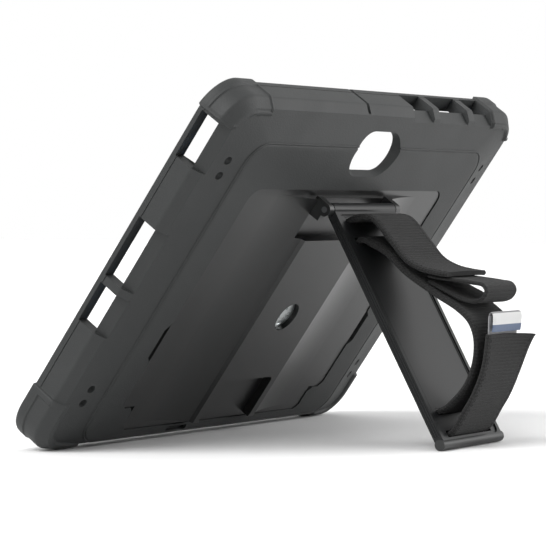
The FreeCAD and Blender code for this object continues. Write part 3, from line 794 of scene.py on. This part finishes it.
# %% Cutting blocks
port_low = 9.2
port_high = 18.2
ledge_inset = 2.6
ledge_foot_inset = 6.0
ledge_foot_up = 2.9
beyond = 8.0
speaker = (case_height - 39.0, case_height - 15.0)
charge_port = (mid_height - 6.0, mid_height + 26.0)
jack_port = (mid_height - 31.0, mid_height - 10.0)
keys = ((91.0, 111.0), (55.0, 85.0), (30.0, 49.0))


def port_section(edge):
    """The port block's section: distances from the case's edge and heights."""
    return ((edge - 2 * wall, port_low), (edge - ledge_inset, port_low),
            (edge - ledge_foot_inset, ledge_foot_up), (edge - ledge_foot_inset, -beyond),
            (edge + beyond, -beyond), (edge + beyond, port_high), (edge - 2 * wall, port_high))


cutters = []
for low, high in (speaker, charge_port, jack_port):
    cutters.append(prism("port_block", port_section(half_length), low, high, "y"))
for low, high in keys:
    low, high = low - half_length, high - half_length
    cutters.append(prism("key_block", port_section(case_height), low, high, "x"))
print(len(cutters), "blocks for ports and keys")

# %% Slit and camera window
slit_at = 20.0
slit_half = 1.2
slit_depth = 3.4
slit_end_up = 4.6
slit_over = 3.0

slit = arc(slit_at, slit_end_up, slit_half, 180, 180, 8)
slit += [(slit_at + slit_half, rim_height + slit_over), (slit_at - slit_half, rim_height + slit_over)]
cutters.append(prism("slit_block", slit, case_height - slit_depth, case_height + beyond, "y"))

camera_up = case_height - 23.0
camera_wide, camera_tall, camera_taper = 41.0, 25.0, 2.2


def pill_outline(wide, tall):
    """An outline with two round ends round the camera's place."""
    low, high = camera_up - tall / 2, camera_up + tall / 2
    return round_rect(-wide / 2, wide / 2, low, high, tall / 2 - 0.01, 14)


pill_rings = []
for wider, z in ((0.9, -2.0), (0.5, -field_rise - 0.02), (-0.1, 0.2),
                 (-2 * camera_taper, 5.2), (-2 * camera_taper, 9.0)):
    pill_rings.append([(x, y, z) for x, y in pill_outline(camera_wide + wider, camera_tall + wider)])
cutters.append(piece_from("camera_block", *join_rings(pill_rings)))

# %% Cord holes and finger scoops
cord_hole, cord_pitch, cord_inset, cord_end = 2.1, 8.0, 14.5, 38.5
for x in (half_length - cord_inset, cord_inset - half_length):
    for y in (cord_end, cord_end - cord_pitch, case_height - cord_end,
              case_height - cord_end + cord_pitch):
        cutters.append(prism("cord_block", arc(x, y, cord_hole, 0, 345, 23), -3.0, 12.0))

scoop_up, scoop_long, scoop_in, scoop_deep, scoop_slope = 65.0, 25.0, 3.6, 1.8, 4.5
panel_wide = float(panel_high[0])
scoop_low, scoop_high = scoop_up - scoop_long / 2, scoop_up + scoop_long / 2
for side in (1, -1):
    edge = side * (panel_wide - 1.0)
    far = edge + side * (scoop_in + 1)
    outline = ((edge, scoop_low), (far, scoop_low + scoop_slope),
               (far, scoop_high - scoop_slope), (edge, scoop_high))
    cutters.append(prism("finger_block", outline, -3.0, scoop_deep))
print(len(cutters), "blocks with the cord holes and scoops")

# %% Panel window and rest
jog_wide, jog_up, jog_slope = 11.0, 27.0, 3
window_corner = 7.0


def window_outline(gap):
    """The panel's outline grown by a gap, with its jogs and its round upper corners."""
    w = panel_wide + gap
    b = float(panel_low[1]) - gap
    t = float(panel_high[1]) + gap
    jog, up = w - jog_wide, jog_up - gap
    half = [(jog - jog_slope, b), (jog, b + jog_slope), (jog, jog_up - jog_slope - gap),
            (jog + jog_slope, up), (w - jog_slope, up), (w, jog_up + jog_slope)]
    for i in range(11):
        a = math.radians(9 * i)
        half.append((w - window_corner * (1 - math.cos(a)), t - window_corner * (1 - math.sin(a))))
    return half + [(-x, y) for x, y in reversed(half)]


window_rings = []
for gap, z in ((0.35, -4.0), (0.35, 1.4), (-0.15, 1.5), (-0.15, 12.0)):
    window_rings.append([(x, y, z) for x, y in window_outline(gap)])
cutters.append(piece_from("window_block", *join_rings(window_rings)))
rest_x, rest_low, rest_high, rest_deep = (22.0, 39.0), 8.3, 11.6, 1.6
rest = round_rect(*rest_x, rest_low, rest_high, 0.8, 4)
cutters.append(prism("rest_block", rest, -3.0, rest_deep))
print(len(cutters), "cutting blocks")

# %% Cut and finish the shell
subtract(shell, cutters)
shell.data.transform(to_case)
smooth_by_angle(shell, 30)
round_edges(shell, 0.35 * MM, 50)
dress(shell, "case", "soft_shell", soft_rubber,
      "shell_back", "shell_wall_top", "shell_wall_bottom", "shell_wall_left", "shell_wall_right",
      "corner_bumper_top_left", "corner_bumper_top_right",
      "corner_bumper_bottom_left", "corner_bumper_bottom_right")

# %% [markdown]
# ## Soft ribs on the floor
#
# Thin ribs stand on the dished floor and fan out from the walls. They bend when the case is
# dropped, so the tablet never meets the wall hard. Each rib is a small loft: a
# narrow section with a round crest that gets lower towards the middle of the case.
# The ribs that would cross the camera window are left out.

# %% Ribs
rib_reach, rib_foot, rib_crest, rib_fan = 34.0, 2.3, 1.1, 0.16
rib_high, rib_sunk, rib_bite = 8.4, 0.6, 0.4
ribs_long, ribs_short = 10, 7
rib_sections = 12


def rib_points(x, y, turn):
    """One rib's rings, from the wall at (x, y) inwards, turned by an angle."""
    rings = []
    cos_t, sin_t = math.cos(turn), math.sin(turn)
    for i in range(rib_sections + 1):
        d = rib_reach * i / rib_sections
        top = rib_high + (floor_up + 0.1 - rib_high) * (d / rib_reach) ** 0.9
        low = floor_up - rib_sunk + (floor_edge_up - floor_up) * max(1 - d / floor_slope, 0.0)
        foot = rib_foot * (1 - 0.45 * d / rib_reach) / 2
        crest = min(rib_crest * (1 - 0.35 * d / rib_reach) / 2, foot)
        half = [(foot, low), (foot * 0.92, low + (top - low) * 0.35), (crest, top - 0.4),
                (crest * 0.6, top - 0.05)]
        profile = [(-foot, low)] + half + [(-u, v) for u, v in reversed(half[1:])]
        rings.append([(x + u * cos_t + d * sin_t, y + u * sin_t - d * cos_t, v) for u, v in profile])
    return join_rings(rings)


rib_start = wall + floor_slope
rib_places = []
for i in range(ribs_long):
    x = -half_length + rib_start + i * (2 * half_length - 2 * rib_start) / (ribs_long - 1)
    tilt = math.atan(rib_fan * x / rib_start)
    if abs(x) > camera_wide / 2 + 2:
        rib_places.append((x, case_height - wall + rib_bite, -tilt))
    rib_places.append((x, wall - rib_bite, math.pi + tilt))
for i in range(ribs_short):
    y = rib_start + i * (case_height - 2 * rib_start) / (ribs_short - 1)
    tilt = math.atan(rib_fan * (y - mid_height) / rib_start)
    rib_places.append((half_length - wall + rib_bite, y, -math.pi / 2 + tilt))
    rib_places.append((wall - rib_bite - half_length, y, math.pi / 2 - tilt))
ribs = piece_from("floor_ribs", *gather([rib_points(*place) for place in rib_places]))
finish_piece(ribs, to_case, 50)
dress(ribs, "case", "soft_shell", soft_rubber, "cushion_fins")

# %% [markdown]
# ## Parts that keep their exact shape
#
# The panel, ears, pin, washers, leaf, band, plate, discs and keeper are hard parts whose
# shape already is right. Their meshes stay as they are. We add a narrow bevel, because
# no real edge is perfectly sharp, even out the shading, and give each its finish.

# %% Hard parts
hard_parts = (
    ("back_panel", panel_plastic, 0.35), ("hinge_ears", panel_plastic, 0.3),
    ("hinge_pin", dark_steel, 0.2), ("hinge_washers", bright_steel, 0.06),
    ("stand_leaf", leaf_plastic, 0.3), ("stand_foot", foot_plastic, 0.3),
    ("keeper_plate", dark_steel, 0.12), ("reinforcing_band", band_plastic, 0.25),
    ("centre_liner", liner_plastic, 0.2), ("magnet_plate", bright_steel, 0.12),
    ("catch_magnets", bright_steel, 0.15), ("badge_disc", bright_steel, 0.12))
for name, finish, radius in hard_parts:
    part = nodes[name]
    part.data.materials.clear()
    part.data.materials.append(finish)
    smooth_by_angle(part, 28)
    round_edges(part, radius * MM, 35)
print(len(hard_parts), "hard parts dressed")

# %% [markdown]
# ## Blue cushions
#
# Four soft cushions are moulded over the band's corners. Seen from above, each is a
# three-cornered shape with blunt tips. It is made of rings that shrink towards the
# middle while they climb, which gives a crowned top, and two curved creases
# are pressed into it.

# %% Cushions
pad_reach, pad_blunt, pad_turn = 17.4, 0.32, 45.0
pad_base, pad_top = 3.6, 8.1
pad_ring_points = 96
pad_crease_from = -pad_reach * 0.75
creases = ((11.5, 0.75), (18.0, 0.75))
crease_half = 0.7
crown_from, crown_low, crown_rise, crown_rings = 0.9, pad_top - 0.12, 0.14, 16


def pad_edge(count):
    """Points evenly along the cushion's outline, with rounded tips, round (0, 0)."""
    tips = []
    for i in range(3):
        for d in (-pad_blunt, pad_blunt):
            a = math.radians(120 * i + pad_turn) + d
            tips.append(Vector((pad_reach * math.cos(a), pad_reach * math.sin(a))))
    path = []
    for before, here, after in zip(tips[-1:] + tips[:-1], tips, tips[1:] + tips[:1]):
        a = here + (before - here).normalized() * 3.0
        b = here + (after - here).normalized() * 3.0
        path += [a * (1 - t) ** 2 + here * 2 * t * (1 - t) + b * t * t for t in (0, 0.25, 0.5, 0.75, 1)]
    lengths = [0.0]
    for p, q in zip(path, path[1:] + path[:1]):
        lengths.append(lengths[-1] + (q - p).length)
    points = []
    for k in range(count):
        s = lengths[-1] * k / count
        i = max(j for j in range(len(path)) if lengths[j] <= s)
        share = (s - lengths[i]) / max(lengths[i + 1] - lengths[i], 1e-9)
        points.append(path[i].lerp(path[(i + 1) % len(path)], share))
    return points


def crease(px, py):
    """How deep a cushion's top is pressed in at a point: two arcs, one in the other."""
    cx = pad_crease_from * math.cos(math.radians(pad_turn))
    cy = pad_crease_from * math.sin(math.radians(pad_turn))
    r = math.hypot(px - cx, py - cy)
    depth = 0.0
    for at, deep in creases:
        depth += deep * math.exp(-((r - at) / crease_half) ** 2)
    return depth


# %% Make the cushions
def make_cushion(node):
    """One cushion at its frame piece's place, mirrored to face its own corner."""
    low, high = bench_box(node, to_case)
    sx = 1 if low[0] > 0 else -1
    sy = 1 if (low[1] + high[1]) / 2 > mid_height else -1
    edge = pad_edge(pad_ring_points)
    near_x, near_y = min(p.x for p in edge), min(p.y for p in edge)
    at_x = float(low[0]) - near_x if sx > 0 else float(high[0]) + near_x
    at_y = float(low[1]) - near_y if sy > 0 else float(high[1]) + near_y
    levels = [(1.0, pad_base), (1.0, pad_top - 1.7), (0.985, pad_top - 0.9),
              (0.945, pad_top - 0.35), (crown_from, crown_low)]
    for i in range(1, crown_rings):
        t = i / crown_rings
        levels.append((crown_from * (1 - t), crown_low + crown_rise * math.sin(math.pi / 2 * t)))
    rings = []
    for scale, z in levels:
        ring = []
        for p in edge:
            u, v = p.x * scale, p.y * scale
            sink = crease(u, v) if scale < 0.93 else 0.0
            ring.append((at_x + sx * u, at_y + sy * v, z - sink))
        rings.append(ring)
    cushion = piece_from(node.replace("shock_pad", "cushion"), *join_rings(rings))
    finish_piece(cushion, to_case, 60)
    dress(cushion, "case", "shock_pad", pad_rubber, node)


for name in sorted(n for n in nodes if n.startswith("shock_pad")):
    make_cushion(name)

# %% [markdown]
# ## Foam pad
#
# The block in the middle is cut from a sheet of black foam, so its sides are
# straight and its edges crumbly. We build it from small square cells, leave out those
# in the notch, and let a small random push move every point, which breaks the edges
# the way a blade does.

# %% Foam block
foam_low, foam_high = bench_box("foam_pad", to_case)
notch_wide, notch_deep = 38.0, 16.0
fx0, fx1, fy0, fy1 = foam_low[0], foam_high[0], foam_low[1], foam_high[1]
foam_cell, foam_layers = 0.9, 4
work = bmesh.new()
columns = round(float(fx1 - fx0) / foam_cell)
rows = round(float(fy1 - fy0) / foam_cell)
grid = {}


def in_foam(i, j):
    """Whether the middle of cell (i, j) is outside the notch."""
    x = fx0 + (fx1 - fx0) * (i + 0.5) / columns
    y = fy0 + (fy1 - fy0) * (j + 0.5) / rows
    return not (abs(x) < notch_wide / 2 and y < fy0 + notch_deep)


def foam_point(i, j, z):
    """The grid point (i, j) at a height, made once."""
    if (i, j, z) not in grid:
        x = fx0 + (fx1 - fx0) * i / columns
        y = fy0 + (fy1 - fy0) * j / rows
        grid[i, j, z] = work.verts.new((x, y, z))
    return grid[i, j, z]


z0, z1 = float(foam_low[2]), float(foam_high[2])
layers = [z0 + (z1 - z0) * k / foam_layers for k in range(foam_layers + 1)]
kept = {(i, j) for i in range(columns) for j in range(rows) if in_foam(i, j)}
cell_corners = ((0, 0), (1, 0), (1, 1), (0, 1))
cell_sides = (((1, 0), (1, 0), (1, 1)), ((-1, 0), (0, 0), (0, 1)),
              ((0, 1), (0, 1), (1, 1)), ((0, -1), (0, 0), (1, 0)))
for i, j in sorted(kept):
    for z in (z0, z1):
        work.faces.new([foam_point(i + a, j + b, z) for a, b in cell_corners])
    for (di, dj), (a, b), (c, d) in cell_sides:
        if (i + di, j + dj) in kept:
            continue
        for low, high in zip(layers, layers[1:]):
            work.faces.new([foam_point(i + a, j + b, low), foam_point(i + c, j + d, low),
                            foam_point(i + c, j + d, high), foam_point(i + a, j + b, high)])
print(columns, "by", rows, "cells,", len(kept), "kept")

# %% Break the foam's edges
bmesh.ops.recalc_face_normals(work, faces=work.faces)
bmesh.ops.smooth_vert(
    work, verts=work.verts, factor=0.35, use_axis_x=True, use_axis_y=True, use_axis_z=True)
for vertex in work.verts:
    push = random.uniform(-0.12, 0.12), random.uniform(-0.12, 0.12), random.uniform(-0.1, 0.05)
    vertex.co += Vector(push)
foam_mesh = bpy.data.meshes.new("foam_block")
work.to_mesh(foam_mesh)
work.free()
foam_block = add_piece("foam_block", foam_mesh)
foam_mesh.transform(to_case)
smooth_by_angle(foam_block, 50)
dress(foam_block, "case", "foam", foam, "foam_pad")

# %% [markdown]
# ## Leaf trim
#
# The stand's leaf is a plain tray, so what the eye reads on it is its trim: three fine
# ridges along each side wall, which stiffen it, and a raised line inside the border.
# They are thin bars that follow the leaf, made by one small function.

# %% Leaf ridges
leaf_half = float(leaf_high[0])
leaf_end = float(leaf_high[1])
leaf_face = 2.3
ridge_heights = (-1.35, -0.1, 1.15)
ridge_half, ridge_in, ridge_out = 0.28, 0.3, 0.28
ridge_from, ridge_to = 7.0, leaf_end - 4.0
line_inset, line_half = 3.6, 0.3
line_from, line_to = 9.5, leaf_end - 9.5
line_low, line_high = leaf_face - 0.9, leaf_face - 0.42


def bar(x0, x1, y0, y1, z0, z1, soft):
    """A bar with its long edges broken, on the stand bench."""
    section = ((x0, z0 + soft), (x0 + soft, z0), (x1 - soft, z0), (x1, z0 + soft),
               (x1, z1 - soft), (x1 - soft, z1), (x0 + soft, z1), (x0, z1 - soft))
    return join_rings([[(u, y, v) for u, v in section] for y in (y0, y1)])


bars = []
for side in (1, -1):
    inner, outer = sorted((side * (leaf_half - ridge_in), side * (leaf_half + ridge_out)))
    for z in ridge_heights:
        bars.append(bar(inner, outer, ridge_from, ridge_to, z - ridge_half, z + ridge_half, 0.12))
    x = side * (leaf_half - line_inset)
    bars.append(bar(x - line_half, x + line_half, line_from, line_to, line_low, line_high, 0.1))
ridges = piece_from("leaf_ridges", *gather(bars))
finish_piece(ridges, to_stand, 30)
dress(ridges, "kickstand", "stand_plastic", leaf_plastic)

# %% [markdown]
# ## The hand strap
#
# One elastic band, 40 mm wide, goes from its free lower end through the slot at the foot,
# round a bar, up in a wide arch that the hand slides under, round the bar at the hinge and
# back over itself, where fleece holds it. We draw that line once, on the stand
# bench, and sweep one flat section along it. The section has round edges and two
# slightly thicker sewn seams, and the skin is pressed into cross ribs, so that the outline
# shows them too.


# %% Smooth line
def run_along(line):
    """How far each point of a line is from its start, along the line."""
    return np.concatenate([[0], np.cumsum(np.linalg.norm(np.diff(line, axis=0), axis=1))])


def smooth_line(points, spacing):
    """Points at even spacing on a smooth curve that goes through the given ones."""
    given = np.array(points, float)
    knots = [0.0]
    for p, q in zip(given, given[1:]):
        knots.append(knots[-1] + max(np.linalg.norm(q - p), 1e-6) ** 0.5)
    dense = []
    for i in range(len(given) - 1):
        p0 = given[max(i - 1, 0)]
        p1, p2 = given[i], given[i + 1]
        p3 = given[min(i + 2, len(given) - 1)]
        t1, t2 = knots[i], knots[i + 1]
        t0 = knots[i - 1] if i else t1 - (t2 - t1)
        t3 = knots[i + 2] if i + 2 < len(given) else t2 + (t2 - t1)
        first = (p1 - p0) / max(t1 - t0, 1e-6)
        here = (p2 - p1) / (t2 - t1)
        last = (p3 - p2) / max(t3 - t2, 1e-6)
        m1 = (t2 - t1) * (first - (p2 - p0) / (t2 - t0) + here)
        m2 = (t2 - t1) * (here - (p3 - p1) / (t3 - t1) + last)
        for k in range(40):
            t = k / 40
            dense.append((2 * t ** 3 - 3 * t ** 2 + 1) * p1 + (t ** 3 - 2 * t ** 2 + t) * m1
                         + (-2 * t ** 3 + 3 * t ** 2) * p2 + (t ** 3 - t ** 2) * m2)
    dense.append(given[-1])
    dense = np.array(dense)
    run = run_along(dense)
    count = max(int(run[-1] / spacing), 4)
    at = np.linspace(0, run[-1], count + 1)
    return np.stack([np.interp(at, run, dense[:, k]) for k in range(2)], axis=1), run[-1]


def line_normals(line):
    """The unit normal at each point of a line, to its left."""
    along = np.gradient(line, axis=0)
    along /= np.linalg.norm(along, axis=1)[:, None]
    return np.stack([-along[:, 1], along[:, 0]], axis=1)


# %% Strap line
foot_turn_low, foot_turn_high = bench_box("strap_turn_foot", to_stand)
hinge_turn_low, hinge_turn_high = bench_box("strap_turn_hinge", to_stand)
strap_thick = 2.2
strap_half = float(foot_turn_high[0])
half_thick = 1.2
under = float(foot_turn_low[2]) + half_thick
foot_in = float(foot_turn_low[1]) + half_thick
foot_out = float(foot_turn_high[1]) - half_thick
hinge_out = float(hinge_turn_low[1]) + half_thick
hinge_in = float(hinge_turn_high[1]) - half_thick
span = foot_in - hinge_in


def at_share(share, off):
    """A point over the leaf: a share of the way between the inner slots, and its height."""
    return hinge_in + share * span, leaf_face + off


loop_low, loop_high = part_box("grab_loop")
loop_middle = (loop_low.z + loop_high.z) / 2
to_bench = to_stand.inverted()


def level_point(y, z):
    """A bench point from millimetres, level and upright, from the loop's near end."""
    p = to_bench @ Vector((0, loop_low.y + y * MM, loop_middle + z * MM))
    return p.y, p.z


lower_end = [at_share(0.78, 38.6), at_share(0.92, 28.4), at_share(1.02, 17.6), at_share(1.06, 11.5),
             (foot_out, leaf_face + 1.2)]
foot_turn = [(foot_out, -0.4), (foot_out - 0.9, under + 0.7), (foot_out - 2.6, under),
             (foot_in + 2.6, under), (foot_in + 0.9, under + 0.7), (foot_in, -0.4)]
arch = [(foot_in, leaf_face + 1.2), (foot_in - 0.4, leaf_face + 5.0), at_share(0.95, 16.5),
        at_share(0.87, 25.5), at_share(0.76, 32.0), at_share(0.67, 33.3), at_share(0.58, 30.5),
        at_share(0.46, 23.5), at_share(0.28, 14.0), at_share(0.14, 9.8), at_share(0.04, 4.0),
        (hinge_in, leaf_face + 1.0)]
hinge_turn = [(hinge_in, -0.4), (hinge_in - 0.9, under + 0.7), (hinge_in - 2.6, under),
              (hinge_out + 2.6, under), (hinge_out + 0.9, under + 0.7), (hinge_out, -0.4)]
upper_end = [(hinge_out, leaf_face + 1.0), (hinge_out + 1.2, leaf_face + 5.6),
             (hinge_out + 5.4, leaf_face + 10.6), at_share(0.10, 14.2), at_share(0.22, 17.0)]
upper_end += [level_point(y, z) for y, z in ((-15.5, 8.3), (-8.0, 6.7), (-0.8, 5.8))]
rib_pitch = 1.6
strap_line, strap_length = smooth_line(lower_end + foot_turn + arch + hinge_turn + upper_end, rib_pitch / 5)
print("strap line", round(float(strap_length)), "mm long,", len(strap_line), "stations")

# %% Strap section
strap_wave, wave_long = 0.35, 9.0
strap_curl, curl_long = 5.5, 22.0
section_steps = 26
skin_least = 0.12


def band_section(half, thick, seam=True):
    """The strap's section: (across, off, which side) round its outline."""
    top = []
    for i in range(section_steps + 1):
        u = -half + 2 * half * i / section_steps
        from_edge = half - abs(u)
        fall = min(from_edge / 1.1, 1.0)
        height = thick / 2 * math.sqrt(max(1 - (1 - fall) ** 2, 0.0))
        if seam:
            swell = 0.16 * math.exp(-((from_edge - 1.9) / 0.7) ** 2)
            dent = 0.13 * math.exp(-((from_edge - 3.4) / 0.5) ** 2)
            height += swell - dent
        top.append((u, max(height, skin_least)))
    return [(u, h, 1) for u, h in top] + [(u, -h, -1) for u, h in reversed(top)]


def bow(s, u, half, wave, curl):
    """How far a band's skin is off its line: wavy edges, and one edge of its end curled."""
    waving = wave * math.sin(s / wave_long) * (abs(u) / half) ** 2
    return waving + curl * max(1 - s / curl_long, 0.0) ** 2 * ((half - u) / (2 * half)) ** 3


# %% Sweep
def sweep(name, line, half, thick, rib_depth=0.08, seam=True, middle=0.0, wave=0.0, curl=0.0):
    """A band swept along a line on the stand bench, with cross ribs and a map in metres."""
    section = band_section(half, thick, seam)
    run = run_along(line)
    rings = []
    for s, p, n in zip(run, line, line_normals(line)):
        ring = []
        for u, h, side in section:
            rib = rib_depth * math.sin(math.tau * s / rib_pitch + (0.9 if side < 0 else 0.0))
            edge = min((half - abs(u)) / 2.2, 1.0)
            off = h + side * rib * edge * 0.5 + bow(s, u, half, wave, curl)
            ring.append((middle + u, p[0] + n[0] * off, p[1] + n[1] * off))
        rings.append(ring)
    band = piece_from(name, *join_rings(rings))
    uv = band.data.uv_layers.new(name="along")
    for loop in band.data.loops:
        i, k = divmod(loop.vertex_index, len(section))
        uv.data[loop.index].uv = (run[i] * MM, section[k][0] * MM)
    return finish_piece(band, to_stand, 60)


strap = sweep(
    "hand_strap", strap_line, strap_half - 0.1, strap_thick, wave=strap_wave, curl=strap_curl)
dress(strap, "kickstand", "strap", strap_weave,
      "strap_arch", "strap_upper_end", "strap_lower_end", "strap_turn_hinge", "strap_turn_foot")

# %% [markdown]
# ### Stitches
#
# Both edges are sewn down with a heavy thread. Every stitch is a small bead, longer than
# it is wide, that lies half in the fabric. A small function shapes a bead, and a loop
# sets one after the other along the strap's own line, on both faces.


# %% Edge stitches
def add_bead(points, faces, centre, ahead, up, size):
    """Appends one six-sided bead with pointed ends."""
    side = ahead.cross(up)
    start = len(points)
    points.append(centre - ahead * size[0])
    for t in (-0.6, 0.6):
        for i in range(6):
            a = math.tau * i / 6
            across = side * size[1] * math.cos(a) + up * size[2] * math.sin(a)
            points.append(centre + ahead * size[0] * t + across)
    points.append(centre + ahead * size[0])
    for i in range(6):
        n = (i + 1) % 6
        faces.append((start, start + 1 + n, start + 1 + i))
        faces.append((start + 1 + i, start + 1 + n, start + 7 + n, start + 7 + i))
        faces.append((start + 7 + i, start + 7 + n, start + 13))


stitch_pitch = 2.6
stitch_from_edge = 3.4
all_points, all_faces = [], []
stitch_size = (0.95, 0.34, 0.24)
stitch_up = strap_thick / 2 - 0.02
normals = line_normals(strap_line)
run = run_along(strap_line)
for s in np.arange(stitch_pitch, run[-1] - stitch_pitch, stitch_pitch):
    i = int(np.searchsorted(run, s))
    p, n = strap_line[i], normals[i]
    ahead = Vector((0, n[1], -n[0]))
    up = Vector((0, n[0], n[1]))
    for edge in (strap_half - stitch_from_edge, stitch_from_edge - strap_half):
        off = bow(run[i], edge, strap_half, strap_wave, strap_curl)
        for face in (1, -1):
            centre = Vector((edge, p[0], p[1])) + up * (face * stitch_up + off)
            add_bead(all_points, all_faces, centre, ahead, up, stitch_size)
stitches = piece_from("strap_stitches", all_points, all_faces)
finish_piece(stitches, to_stand, 60)
dress(stitches, "kickstand", "strap", thread)

# %% [markdown]
# ### Grab loop
#
# A narrower band is sewn under the upper end and folded into a drop-shaped loop for the
# fingers. It is pinched between the two layers of the strap at one end and round at
# the other. We draw it level, because that is how it stands out when the stand is open.

# %% Grab loop
loop_thick = 1.7
loop_run = [(-13.0, 1.9), (-8.0, -0.6), (-2.0, -3.4), (4.0, -6.0), (10.0, -7.0), (15.0, -5.3),
            (16.8, -2.0), (15.2, 0.6), (10.0, 1.6), (4.0, 2.4), (-2.0, 3.2), (-8.0, 4.0), (-13.0, 4.9)]
loop_line, loop_length = smooth_line([level_point(y, z) for y, z in loop_run], rib_pitch / 5)
loop_wider = 4
loop_half = (loop_high.x - loop_low.x) / 2 / MM + loop_wider
loop = sweep("grab_loop_band", loop_line, loop_half, loop_thick, 0.06, wave=0.2)
dress(loop, "kickstand", "strap", strap_weave, "grab_loop")
print("loop", round(float(loop_length)), "mm long")

# %% [markdown]
# ### Tag
#
# The tag is a woven tape, folded over and sewn into the lower end, so both of its layers
# and the round fold on top show. Its bands are plain colours.

# %% Tag
tag_low, tag_high = bench_box("strap_tag", to_stand)
tag_half = float(tag_high[0] - tag_low[0]) / 2
tag_middle = float(tag_high[0] + tag_low[0]) / 2
tag_thick, tag_spacing = 0.7, 0.3
tag_run = [(18.9, -23.0), (19.0, -18.0), (19.3, -13.2), (20.0, -11.8), (21.0, -12.0), (21.5, -13.4),
           (21.4, -17.0), (20.9, -20.6)]
tag_line, tag_length = smooth_line([level_point(y, z) for y, z in tag_run], tag_spacing)
tag = sweep("strap_end_tag", tag_line, tag_half, tag_thick, 0.0, seam=False, middle=tag_middle)
uv = tag.data.uv_layers["along"]
for item in uv.data:
    item.uv = (item.uv[0] / (float(tag_length) * MM), item.uv[1])
dress(tag, "kickstand", "tag", tag_tape, "strap_tag")
